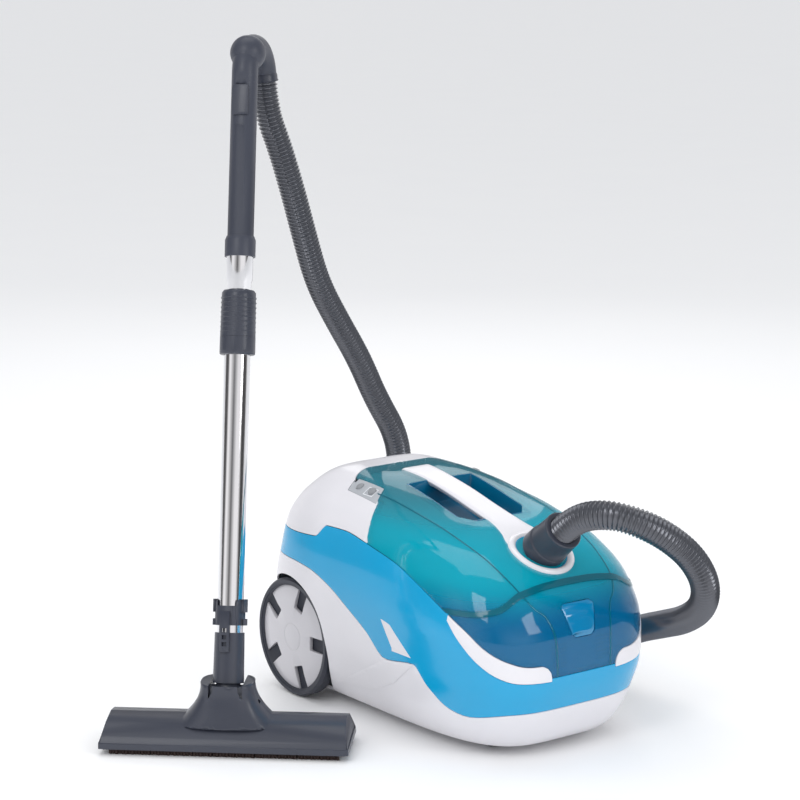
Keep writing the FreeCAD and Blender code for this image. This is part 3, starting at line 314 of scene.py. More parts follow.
def piece(name, bm, body, finish, matrix=HOUSE, stands_for=(), angle=35.0):
    """Turns a bmesh in millimetres into a finished piece on a body."""
    bmesh.ops.transform(bm, matrix=Matrix.Scale(MM, 4) @ matrix, verts=bm.verts)
    mesh = bpy.data.meshes.new(name)
    bm.to_mesh(mesh)
    bm.free()
    item = bpy.data.objects.new(name, mesh)
    bpy.context.collection.objects.link(item)
    mesh.materials.append(finish)
    mesh.shade_smooth()
    mesh.set_sharp_from_angle(angle=math.radians(angle))
    if body:
        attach(item, body)
    if stands_for:
        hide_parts(*stands_for)
    return item


def node_mesh(node):
    """A merged copy of a CAD node, in millimetres in the frame."""
    bm = bmesh.new()
    bm.from_mesh(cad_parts[node].data)
    bmesh.ops.transform(bm, matrix=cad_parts[node].matrix_world, verts=bm.verts)
    bmesh.ops.scale(bm, vec=(1 / MM,) * 3, verts=bm.verts)
    bmesh.ops.remove_doubles(bm, verts=bm.verts, dist=0.002)
    bmesh.ops.dissolve_limit(bm, angle_limit=math.radians(1), verts=bm.verts, edges=bm.edges)
    return bm


def middle_of(node):
    """The middle of a CAD node, in millimetres from the middle of the housing."""
    low, high = (Vector(corner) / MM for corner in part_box(node))
    return (low + high) / 2 - HOUSING


def smoothed(node, body, finish, angle, soften):
    """A smooth copy of a CAD node that stands for it."""
    bm = node_mesh(node)
    if soften:
        bevel(bm, sharp_edges(bm, 50), soften, 2)
    bmesh.ops.triangulate(bm, faces=[f for f in bm.faces if len(f.verts) > 4])
    return piece(node + "_skin", bm, body, finish, Matrix(), (node,), angle)


# --------------------------------------------------------------------------- finishes

class Wire:
    """A socket that takes part in sums."""

    def __init__(self, finish, socket):
        self.finish = finish
        self.socket = socket

    def sum(self, kind, first, second):
        return self.finish.node("ShaderNodeMath", {"operation": kind}, {0: first, 1: second})

    def __add__(self, other):
        return self.sum("ADD", self, other)

    def __sub__(self, other):
        return self.sum("SUBTRACT", self, other)

    def __mul__(self, other):
        return self.sum("MULTIPLY", self, other)

    def __rsub__(self, other):
        return self.sum("SUBTRACT", other, self)

    __radd__ = __add__
    __rmul__ = __mul__


class Finish:
    """A material under construction."""

    def __init__(self, name, **shader):
        self.material = bpy.data.materials.new(name)
        self.material.use_nodes = True
        self.tree = self.material.node_tree
        self.shader = self.tree.nodes["Principled BSDF"]
        for key, value in shader.items():
            self.set(key.replace("_", " ").title().replace("Ior", "IOR"), value)

    def node(self, kind, settings=None, sockets=None, output=0):
        """A new node from its type, its settings and the values or wires of its sockets."""
        made = self.tree.nodes.new(kind)
        for key, value in (settings or {}).items():
            if key == "stops":
                ramp = made.color_ramp
                while len(ramp.elements) > 1:
                    ramp.elements.remove(ramp.elements[-1])
                for k, (spot, colour) in enumerate(value):
                    stop = ramp.elements[0] if k == 0 else ramp.elements.new(spot)
                    stop.position = spot
                    stop.color = (*colour, 1) if len(colour) == 3 else colour
            else:
                setattr(made, key, value)
        for key, value in (sockets or {}).items():
            if value is None:
                continue
            if isinstance(value, Wire):
                self.tree.links.new(value.socket, made.inputs[key])
            else:
                made.inputs[key].default_value = value
        return Wire(self, made.outputs[output])

    def set(self, name, value):
        """Puts a value or a wire on one of the shader's sockets."""
        if isinstance(value, Wire):
            self.tree.links.new(value.socket, self.shader.inputs[name])
        else:
            if isinstance(value, (tuple, list)) and len(value) == 3:
                value = (*value, 1)
            self.shader.inputs[name].default_value = value

    def here(self):
        """The place on the object, in metres."""
        return self.node("ShaderNodeTexCoord", output=3)

    def noise(self, scale, detail=3.0, where=None):
        return self.node("ShaderNodeTexNoise", None, {"Vector": where or self.here(), "Scale": scale,
                                                      "Detail": detail, "Roughness": 0.5})

    def height(self):
        """The height over the floor, in metres."""
        return self.node("ShaderNodeSeparateXYZ", None, {0: self.here()}, 2)

    def blend(self, factor, first, second):
        """One colour going over into another."""
        made = self.tree.nodes.new("ShaderNodeMix")
        made.data_type = "RGBA"
        for index, value in ((0, factor), (6, first), (7, second)):
            if isinstance(value, Wire):
                self.tree.links.new(value.socket, made.inputs[index])
            else:
                made.inputs[index].default_value = (*value, 1) if isinstance(value, tuple) else value
        return Wire(self, made.outputs[2])

    def bump(self, height, strength, distance):
        self.set("Normal", self.node("ShaderNodeBump", None, {"Strength": strength, "Distance": distance,
                                                              "Height": height}))

    def step(self, value, low, high):
        """A soft step from 0 at low to 1 at high."""
        return self.node("ShaderNodeMapRange", {"interpolation_type": "SMOOTHSTEP"},
                         {"Value": value, "From Min": low, "From Max": high})


def shade(colour, factor):
    """The colour made darker or lighter."""
    return tuple(c * factor for c in colour)


def moulded(name, colour, rough=0.35, coat=0.0, grain=0.05, fine=1400.0, vary=0.06, metallic=0.0):
    """Moulded plastic: slight mottling, fine grain and uneven gloss."""
    f = Finish(name, coat_roughness=0.05, coat_weight=coat, metallic=metallic)
    cloud = f.noise(9.0)
    f.set("Base Color", f.blend(cloud, shade(colour, 1 - vary), shade(colour, 1 + vary)))
    f.set("Roughness", f.noise(60.0) * 0.08 + (rough - 0.04))
    f.bump(f.noise(fine, 2.0), grain, 0.0004)
    return f.material


def metal(name, colour, rough, grain=0.03, stretch=(1, 1, 1)):
    """Bright metal with faint drawn lines."""
    f = Finish(name, metallic=1.0)
    where = f.node("ShaderNodeMapping", None, {"Vector": f.here(), "Scale": stretch})
    lines = f.noise(500.0, 2.0, where)
    f.set("Base Color", f.blend(f.noise(12.0), shade(colour, 0.94), colour))
    f.set("Roughness", lines * 0.05 + rough)
    f.bump(lines, grain, 0.0002)
    return f.material


def finishes():
    """All the finishes by name."""
    tone = bpy.context.scene.cleaner_finish
    white, blue = tuple(tone.white), tuple(tone.blue)
    dark, grey = tuple(tone.dark), tuple(tone.grey)
    made = {
        "white": moulded("white_plastic", white, 0.30, 0.25, 0.04),
        "blue": moulded("blue_plastic", blue, 0.22, 0.35, 0.02),
        "dark": moulded("dark_plastic", dark, 0.36, 0.1, 0.12),
        "handle": moulded("handle_plastic", shade(dark, 1.1), 0.42, 0.0, 0.2),
        "grey": moulded("grey_plastic", grey, 0.34, 0.1, 0.06),
        "key": moulded("key_plastic", shade(grey, 0.62), 0.4, 0.0, 0.06),
        "wheel": moulded("wheel_plastic", tuple(tone.wheel), 0.34, 0.15, 0.05),
        "tyre": moulded("tyre_rubber", shade(dark, 0.85), 0.5, 0.0, 0.3, 900.0),
        "seal": moulded("seal_rubber", (0.02, 0.14, 0.19), 0.45, 0.0, 0.15),
        "felt": moulded("filter_felt", (0.42, 0.42, 0.4), 0.95, 0.0, 0.8, 500.0, 0.2),
        "bristle": moulded("bristle", (0.035, 0.018, 0.015), 0.75, 0.0, 0.8, 1500.0, 0.3),
        "board": moulded("board_green", (0.02, 0.16, 0.07), 0.4, 0.3, 0.1),
        "chrome": metal("tube_chrome", (0.86, 0.86, 0.88), 0.07, 0.02, (1, 1, 0.05)),
        "steel": metal("steel", (0.55, 0.55, 0.56), 0.28, 0.1),
        "fan": metal("fan_metal", (0.7, 0.7, 0.72), 0.3, 0.1),
        "copper": metal("windings", (0.72, 0.32, 0.14), 0.35, 0.3),
        "hose": moulded("hose_plastic", tuple(tone.hose), 0.24, 0.3, 0.04, metallic=0.6),
        "trim": moulded("trim_plastic", shade(white, 1.02), 0.24, 0.4, 0.03),
        "icon": moulded("icon_ink", (0.75, 0.77, 0.8), 0.5),
        "black": moulded("black_plastic", (0.012, 0.013, 0.016), 0.5),
    }
    made["rim"] = clear("rim_plastic", (0.0, 0.13, 0.19), 0.85)
    made["latch"] = moulded("latch_plastic", (0.0, 0.20, 0.42), 0.08, 0.8, 0.01)
    # The finger tray's own dark blue is darkened further here as painted shade for the shade inside its
    # openings.
    made["tray"] = moulded("tray_plastic_painted_shade", (0.0, 0.12, 0.24), 0.15, 0.5, 0.02)
    made["lid"] = lid_finish()
    made["liner"] = liner_finish()
    made["tank"] = clear("tank_plastic", (0.30, 0.55, 0.62), 0.35)
    return made


def clear(name, colour, alpha):
    """Tinted see-through plastic."""
    f = Finish(name, roughness=0.12, coat_weight=0.3, alpha=alpha)
    f.set("Base Color", f.blend(f.noise(7.0), shade(colour, 0.9), colour))
    f.bump(f.noise(300.0), 0.02, 0.0003)
    return f.material


def lid_finish():
    """Tinted clear plastic that goes from its deck colour through teal to its deep front colour."""
    tone = bpy.context.scene.cleaner_finish
    f = Finish("lid_plastic", roughness=0.05, coat_weight=0.25, coat_roughness=0.02, ior=1.5)
    z = f.height()
    deep, teal, deck = tuple(tone.lid_deep), tuple(tone.lid_teal), tuple(tone.lid_deck)
    low = f.step(z, 0.225, 0.170)
    high = f.step(z, 0.250, 0.292)
    colour = f.blend(high, f.blend(low, teal, deep), deck)
    colour = f.blend(f.noise(6.0, 2.0) * 0.35, colour, shade(teal, 0.6))
    f.set("Base Color", colour)
    f.set("Alpha", 0.60)
    f.bump(f.noise(40.0, 1.0), 0.02, 0.0006)
    return f.material


def liner_finish():
    """The bright moulding seen through the lid, with its fine mesh."""
    tone = bpy.context.scene.cleaner_finish
    f = Finish("liner_plastic", roughness=0.4)
    z = f.height()
    cells = f.node("ShaderNodeTexVoronoi", {"feature": "F1"},
                   {"Vector": f.here(), "Scale": 420.0, "Randomness": 0.15})
    mask = f.step(cells, 0.25, 0.45)
    bright, teal = tuple(tone.liner), tuple(tone.lid_teal)
    body = f.blend(mask, shade(bright, 0.55), bright)
    deep = f.step(z, 0.215, 0.180)
    f.set("Base Color", f.blend(deep, body, tuple(tone.lid_deep)))
    f.bump(mask, 0.4, 0.0006)
    return f.material


FINISH = {}


# --------------------------------------------------------------------------- settings

def tint(name, about, value):
    """A colour that the panel shows."""
    return FloatVectorProperty(name=name, description=about, subtype="COLOR", size=3, min=0, max=1,
                               default=value)


def millimetres(name, about, value):
    """A size in millimetres that the panel shows."""
    return FloatProperty(name=name, description=about, default=value, min=0, subtype="NONE")


class CleanerFinish(bpy.types.PropertyGroup):
    """The colours"""
    white: tint("White", "The lower shell, cover and trims", (0.74, 0.73, 0.765))
    blue: tint("Blue", "The band round the housing", (0.0, 0.34, 0.63))
    dark: tint("Dark", "The cuff, wand fittings and floor head", (0.040, 0.045, 0.064))
    grey: tint("Grey", "The key panels", (0.42, 0.44, 0.47))
    wheel: tint("Wheel", "The wheel discs", (0.58, 0.57, 0.60))
    hose: tint("Hose", "The hose", (0.115, 0.12, 0.138))
    lid_deck: tint("Lid deck", "The lid's flat top", (0.045, 0.22, 0.29))
    lid_teal: tint("Lid middle", "The lid's slope", (0.0, 0.44, 0.58))
    lid_deep: tint("Lid front", "The lid's front", (0.0, 0.13, 0.36))
    liner: tint("Liner", "The moulding under the lid", (0.02, 0.78, 0.92))


class CleanerHose(bpy.types.PropertyGroup):
    """The hose's sizes"""
    pitch: millimetres("Rib pitch", "Distance between the hose's ribs in mm", 5.3)
    depth: millimetres("Rib depth", "Depth of the hose's ribs in mm", 2.3)
    radius: millimetres("Radius", "Outside radius of the hose in mm", 18.0)
    around: IntProperty(name="Around", description="Faces around the hose", default=24, min=8)


class CleanerShell(bpy.types.PropertyGroup):
    """The shells' sizes"""
    wall: millimetres("Wall", "Thickness of the shells in mm", 2.6)
    gap: millimetres("Gap", "Half the gap between neighbouring shells in mm", 0.4)
    edge: millimetres("Edge", "Rounding of the shells' edges in mm", 0.7)


# --------------------------------------------------------------------------- stage and hose

class CLEANER_OT_stage(bpy.types.Operator):
    """Camera, lights and floor"""
    bl_idname = "cleaner.stage"
    bl_label = "Stage"

    def execute(self, context):
        camera = bpy.data.objects.new("camera", bpy.data.cameras.new("camera"))
        camera.data.lens = CAMERA_LENS
        camera.data.sensor_width = 36.0
        camera.matrix_world = Matrix.Translation(CAMERA_SPOT) @ Matrix(CAMERA_AXES).transposed().to_4x4()
        context.collection.objects.link(camera)
        context.scene.camera = camera
        floor = Finish("floor_paint", roughness=0.55, specular_ior_level=0.3)
        floor.set("Base Color", floor.blend(floor.noise(3.0), (0.93, 0.93, 0.935), (0.95, 0.95, 0.95)))
        bm = bmesh.new()
        bmesh.ops.create_grid(bm, x_segments=2, y_segments=2, size=40000)
        ground = piece("floor", bm, None, floor.material, Matrix.Translation((0, 0, -0.3)))
        for name, place, size, power in LIGHTS:
            light = bpy.data.objects.new(name, bpy.data.lights.new(name, "AREA"))
            light.data.shape = "RECTANGLE"
            light.data.size, light.data.size_y = size
            light.data.energy = power
            light.location = place
            light.rotation_euler = (LIGHT_AIM - Vector(place)).to_track_quat("-Z", "Y").to_euler()
            context.collection.objects.link(light)
        world = bpy.data.worlds.new("studio")
        context.scene.world = world
        studio_walls(world)
        context.scene.view_settings.view_transform = "Standard"
        return {"FINISHED"}


def studio_walls(world):
    """White surroundings with darker upright bands, as flats stood round the stage give."""
    world.use_nodes = True
    tree = world.node_tree
    back = tree.nodes["Background"]
    where = tree.nodes.new("ShaderNodeTexCoord")
    around = tree.nodes.new("ShaderNodeTexGradient")
    around.gradient_type = "RADIAL"
    ramp = tree.nodes.new("ShaderNodeValToRGB")
    for k, (spot, tone) in enumerate(WALL_TONES):
        stop = ramp.color_ramp.elements[0] if k == 0 else ramp.color_ramp.elements.new(spot)
        stop.position, stop.color = spot, (tone, tone * 0.985, tone * 0.99, 1)
    ramp.color_ramp.elements.remove(ramp.color_ramp.elements[-1])
    rise = tree.nodes.new("ShaderNodeSeparateXYZ")
    fade = tree.nodes.new("ShaderNodeMapRange")
    fade.inputs["From Min"].default_value = 0.25
    fade.inputs["From Max"].default_value = 0.6
    upper, seen, plain = (tree.nodes.new("ShaderNodeMix") for _ in range(3))
    for mix, index, colour in ((upper, 7, (0.30, 0.31, 0.33, 1)), (seen, 6, (0.93, 0.94, 0.96, 1)),
                               (plain, 7, (1.0, 1.0, 1.0, 1))):
        mix.data_type = "RGBA"
        mix.inputs[index].default_value = colour
    ray = tree.nodes.new("ShaderNodeLightPath")
    links = tree.links
    links.new(where.outputs["Generated"], around.inputs[0])
    links.new(where.outputs["Generated"], rise.inputs[0])
    links.new(around.outputs[0], ramp.inputs[0])
    links.new(rise.outputs[2], fade.inputs[0])
    links.new(fade.outputs[0], upper.inputs[0])
    links.new(ramp.outputs[0], upper.inputs[6])
    links.new(ray.outputs["Is Glossy Ray"], seen.inputs[0])
    links.new(upper.outputs[2], seen.inputs[7])
    links.new(ray.outputs["Is Camera Ray"], plain.inputs[0])
    links.new(seen.outputs[2], plain.inputs[6])
    links.new(plain.outputs[2], back.inputs[0])
    back.inputs[1].default_value = 1.0


def spline_points(route):
    """The points of the smooth line that has the route as its control points."""
    data = bpy.data.curves.new("route", "CURVE")
    data.dimensions = "3D"
    spline = data.splines.new("NURBS")
    spline.points.add(len(route) - 1)
    for point, spot in zip(spline.points, route):
        point.co = (*(Vector(spot) * MM), 1)
    spline.order_u = 3
    spline.use_endpoint_u = True
    spline.resolution_u = 16
    item = bpy.data.objects.new("route", data)
    bpy.context.collection.objects.link(item)
    mesh = bpy.data.meshes.new_from_object(item)
    points = [v.co.copy() for v in mesh.vertices]
    bpy.data.objects.remove(item)
    bpy.data.curves.remove(data)
    bpy.data.meshes.remove(mesh)
    return points


ROWS_PER_RIB = 6


def ribbed(route, first, last):
    """A corrugated tube along a route, its radius going from first to last."""
    size = bpy.context.scene.cleaner_hose
    points = spline_points(route)
    run = [0.0]
    for a, b in zip(points, points[1:]):
        run.append(run[-1] + (b - a).length)
    total = run[-1]
    ribs = round(total / (size.pitch * MM))
    rows = ribs * ROWS_PER_RIB
    centres, i = [], 0
    for k in range(rows + 1):
        s = total * k / rows
        while i < len(run) - 2 and run[i + 1] < s:
            i += 1
        centres.append(points[i].lerp(points[i + 1], (s - run[i]) / max(run[i + 1] - run[i], 1e-9)))
    tangents = [(centres[min(k + 3, rows)] - centres[max(k - 3, 0)]).normalized() for k in range(rows + 1)]
    side = tangents[0].orthogonal().normalized()
    sides = []
    for tangent in tangents:
        side = (side - tangent * side.dot(tangent)).normalized()
        sides.append(side)

    def place(u, v):
        k = min(rows, round(v * rows))
        wave = (0.5 + 0.5 * math.cos(2 * math.pi * v * ribs)) ** 1.3
        radius = first + (last - first) * v - size.depth * (1 - wave)
        angle = 2 * math.pi * u
        out = sides[k] * math.cos(angle) + tangents[k].cross(sides[k]) * math.sin(angle)
        return centres[k] / MM + out * radius

    return sheet(place, size.around, rows, 0.01), points, total


class CLEANER_OT_hose(bpy.types.Operator):
    """The ribbed hose, in a front and a rear length"""
    bl_idname = "cleaner.hose"
    bl_label = "Hose"

    def execute(self, context):
        size = context.scene.cleaner_hose
        for name, route, bodies, last in (
                ("hose_front", FRONT_ROUTE, ("lid", "housing"), size.radius),
                ("hose_rear", REAR_ROUTE, ("housing", "wand_upper"), size.radius - 1.2)):
            bm, points, total = ribbed(route, size.radius, last)
            tube = piece(name + "_tube", bm, None, FINISH["hose"], Matrix(), angle=60)
            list(bodies)
            tuple(Vector(route[0]) * MM)
            tuple(Vector(route[-2]) * MM)
            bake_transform(tube)
            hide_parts(name)
            tuple(Vector(route[0]) * MM)
            [tuple(p) for p in points]
        return {"FINISHED"}


# --------------------------------------------------------------------------- shells

SKIN_AROUND, SKIN_ROWS, CAP_ROWS, HEIGHT_STEPS = 208, 150, 8, 600


def skin_grid():
    """The whole skin as one closed sheet, its rows evenly spaced along the front."""
    heights = [SKIN_LOW + (SKIN_HIGH - SKIN_LOW) * k / HEIGHT_STEPS for k in range(HEIGHT_STEPS + 1)]
    run = [0.0]
    for a, b in zip(heights, heights[1:]):
        run.append(run[-1] + (skin_ring(b, -math.pi / 2) - skin_ring(a, -math.pi / 2)).length)

    def place(u, v):
        angle = 2 * math.pi * u
        k = round(v * SKIN_ROWS)
        if k < CAP_ROWS:
            return Vector((0, 0, SKIN_LOW)).lerp(skin_ring(SKIN_LOW, angle), k / CAP_ROWS)
        if k > SKIN_ROWS - CAP_ROWS:
            return Vector((0, 95, SKIN_HIGH)).lerp(skin_ring(SKIN_HIGH, angle), (SKIN_ROWS - k) / CAP_ROWS)
        s = run[-1] * (k - CAP_ROWS) / (SKIN_ROWS - 2 * CAP_ROWS)
        i = min(bisect_right(run, s) - 1, HEIGHT_STEPS - 1)
        t = (s - run[i]) / (run[i + 1] - run[i])
        return skin_ring(heights[i] + (heights[i + 1] - heights[i]) * t, angle)

    return sheet(place, SKIN_AROUND, SKIN_ROWS)


def split(bm, seam, axis=2):
    """Cuts the sheet where one coordinate equals seam(point), keeping both sides."""
    for v in bm.verts:
        v.co[axis] -= seam(v.co)
    normal = [0, 0, 0]
    normal[axis] = 1
    bmesh.ops.bisect_plane(bm, geom=bm.verts[:] + bm.edges[:] + bm.faces[:], dist=0.0005,
                           plane_co=(0, 0, 0), plane_no=normal)
    for v in bm.verts:
        v.co[axis] += seam(v.co)


def keep_where(bm, test):
    """Leaves only the faces whose middle passes the test."""
    bmesh.ops.delete(bm, geom=[f for f in bm.faces if not test(f.calc_center_median())], context="FACES")
    bmesh.ops.delete(bm, geom=[e for e in bm.edges if not e.link_faces], context="EDGES")
    bmesh.ops.delete(bm, geom=[v for v in bm.verts if not v.link_faces], context="VERTS")


# Half the gap between the trims and their round ends, the lid's foot, and where lid and trims start.
TRIM_HALF = 51.0
TRIM_ROUND = 17.0
LID_FOOT = 107.0
TRIM_START = -186.0
REAR_LINE = -18.0

# How far the liner stays inside the lid's edge and under its skin.
LINER_EDGE = 4.0
LINER_DROP = 8.0


def trim_inner(z):
    """How far the trim's rounded front end stands from the middle at a height."""
    top = 124.0 - TRIM_ROUND
    over = min(max(z - top, 0.0), TRIM_ROUND)
    return TRIM_HALF + TRIM_ROUND - math.sqrt(TRIM_ROUND ** 2 - over ** 2)


def lid_zone(p, grow):
    """True over the lid, grown by a distance."""
    if p.y > REAR_LINE:
        return p.z > BACK(p.y) - grow
    if p.y > TRIM_START:
        return p.z > EDGE(p.y) - grow
    if abs(p.x) < trim_inner(p.z) + grow:
        return p.z > LID_FOOT - grow
    return p.z > TOP(p.y) - grow


def front_cuts(bm, grow):
    """Cuts the sheet along the lid's lines between and over the trims."""
    split(bm, lambda p: TOP(p.y) - grow)
    for side in (-1, 1):
        split(bm, lambda p: side * (trim_inner(p.z) + grow), 0)
    split(bm, lambda p: LID_FOOT - grow)


def lid_sheet(grow):
    """The lid's part of the skin, grown by a distance."""
    bm = skin_grid()
    split(bm, lambda p: BACK(p.y) - grow)
    split(bm, lambda p: EDGE(p.y) - grow)
    split(bm, lambda p: REAR_LINE, 1)
    split(bm, lambda p: TRIM_START, 1)
    front_cuts(bm, grow)
    keep_where(bm, lambda p: lid_zone(p, grow) and p.z > 100)
    return bm


def thickened(bm, wall, edge, lift=0.0):
    """Gives a sheet its wall inwards, and as much as lift outwards, and rounds its rims."""
    steps = [("SOLIDIFY", {"thickness": wall + lift, "offset": -1.0 + 2 * lift / (wall + lift),
                           "use_even_offset": True})]
    if edge:
        steps.append(("BEVEL", {"width": edge, "segments": 2, "limit_method": "ANGLE",
                                "angle_limit": math.radians(55), "use_clamp_overlap": True}))
    return worked(bm, steps)


class CLEANER_OT_shells(bpy.types.Operator):
    """The lower shell, the band, the rear cover, the trims and the lid"""
    bl_idname = "cleaner.shells"
    bl_label = "Shells"

    def execute(self, context):
        size = context.scene.cleaner_shell
        gap, wall, edge = size.gap, size.wall, size.edge
        well = wheel_wells()

        bm = skin_grid()
        split(bm, lambda p: LOW(p.y) - gap)
        keep_where(bm, lambda p: p.z < LOW(p.y) - gap)
        piece("lower_shell_skin", carved(thickened(bm, wall, edge), well.copy()), "housing",
              FINISH["white"], HOUSE, ("lower_shell",))

        bm = skin_grid()
        split(bm, lambda p: LOW(p.y) + gap)
        split(bm, lambda p: COVER(p.y) - gap)
        split(bm, lambda p: EDGE(p.y) - gap)
        split(bm, lambda p: REAR_LINE, 1)
        split(bm, lambda p: TRIM_START, 1)
        split(bm, lambda p: FOOT(p.y) - gap)
        for side in (-1, 1):
            split(bm, lambda p: side * TRIM_HALF, 0)
        split(bm, lambda p: LID_FOOT - gap)

        def band(p):
            if p.z < LOW(p.y) + gap:
                return False
            if p.y > REAR_LINE:
                return p.z < COVER(p.y) - gap
            if p.y > TRIM_START:
                return p.z < EDGE(p.y) - gap
            if abs(p.x) < TRIM_HALF:
                return p.z < LID_FOOT - gap
            return p.z < FOOT(p.y) - gap

        keep_where(bm, band)
        piece("body_shell_skin", carved(thickened(bm, wall, edge), well.copy()), "housing",
              FINISH["blue"], HOUSE, ("body_shell",))

        bm = skin_grid()
        split(bm, lambda p: COVER(p.y) + gap)
        split(bm, lambda p: BACK(p.y) - gap)
        split(bm, lambda p: REAR_LINE, 1)
        keep_where(bm, lambda p: p.y > REAR_LINE and COVER(p.y) + gap < p.z < BACK(p.y) - gap
                   or p.y > 99 and p.z > 290)
        piece("rear_cover_skin", carved(thickened(bm, wall, edge), pad_cutters()), "housing",
              FINISH["white"], HOUSE, ("rear_cover",))

        for side, label in ((-1, "right"), (1, "left")):
            bm = skin_grid()
            split(bm, lambda p: FOOT(p.y) + gap)
            split(bm, lambda p: TRIM_START, 1)
            front_cuts(bm, gap)
            keep_where(bm, lambda p: side * p.x > trim_inner(p.z) + gap and p.y < TRIM_START
                       and FOOT(p.y) + gap < p.z < TOP(p.y) - gap)
            piece("trim_%s_skin" % label, thickened(bm, wall, 1.1, 0.9), "housing",
                  FINISH["trim"], HOUSE, ("trim_" + label,))
        well.free()

        bm = lid_openings(thickened(lid_sheet(-gap), wall, edge))
        piece("lid_shell_skin", bm, "lid", FINISH["lid"], HOUSE, ("lid_shell",))

        bm = lid_sheet(-LINER_EDGE)
        for v in bm.verts:
            inner = Vector((0, min(max(v.co.y, -140), 60), 90))
            v.co -= (v.co - inner).normalized() * LINER_DROP
        bm = lid_openings(thickened(bm, 1.0, 0))
        piece("lid_liner", bm, "lid", FINISH["liner"], HOUSE, ())
        return {"FINISHED"}


# The rim's height by the distance from the middle, and the crease's distance from the middle by depth.
RIM_LINE = Curve1D(((0, 211.5), (30, 211), (74, 206), (106, 191), (125, 186), (150, 184)))
RIM_BELOW, RIM_ABOVE = 3.2, 2.8
CREASE_LINE = Curve1D(((-276, 42), (-262, 52), (-254, 64), (-239, 73), (-180, 82), (-100, 87), (20, 91)))
CREASE_HALF = 0.8
CREASE_END = 20


def straight(points):
    """A line of straight runs, as a function of its first coordinate."""
    points = sorted(points)

    def height(a):
        for (x0, z0), (x1, z1) in zip(points, points[1:]):
            if a <= x1 or (x1, z1) == points[-1]:
                return z0 + (z1 - z0) * (a - x0) / (x1 - x0)
    return height


def side_patch(lower, upper, side, lift, wall=1.0, edge=0.3):
    """A patch of the skin on one side between two lines of the side view, standing proud by lift."""
    low, high = straight(lower), straight(upper)
    first, last = min(lower)[0], max(lower)[0]
    bm = skin_grid()
    keep_where(bm, lambda p: side * p.x > 40 and first - 8 < p.y < last + 8)
    split(bm, lambda p: low(p.y))
    split(bm, lambda p: high(p.y))
    split(bm, lambda p: first, 1)
    split(bm, lambda p: last, 1)
    keep_where(bm, lambda p: first < p.y < last and low(p.y) < p.z < high(p.y))
    return thickened(bm, wall, edge, lift)


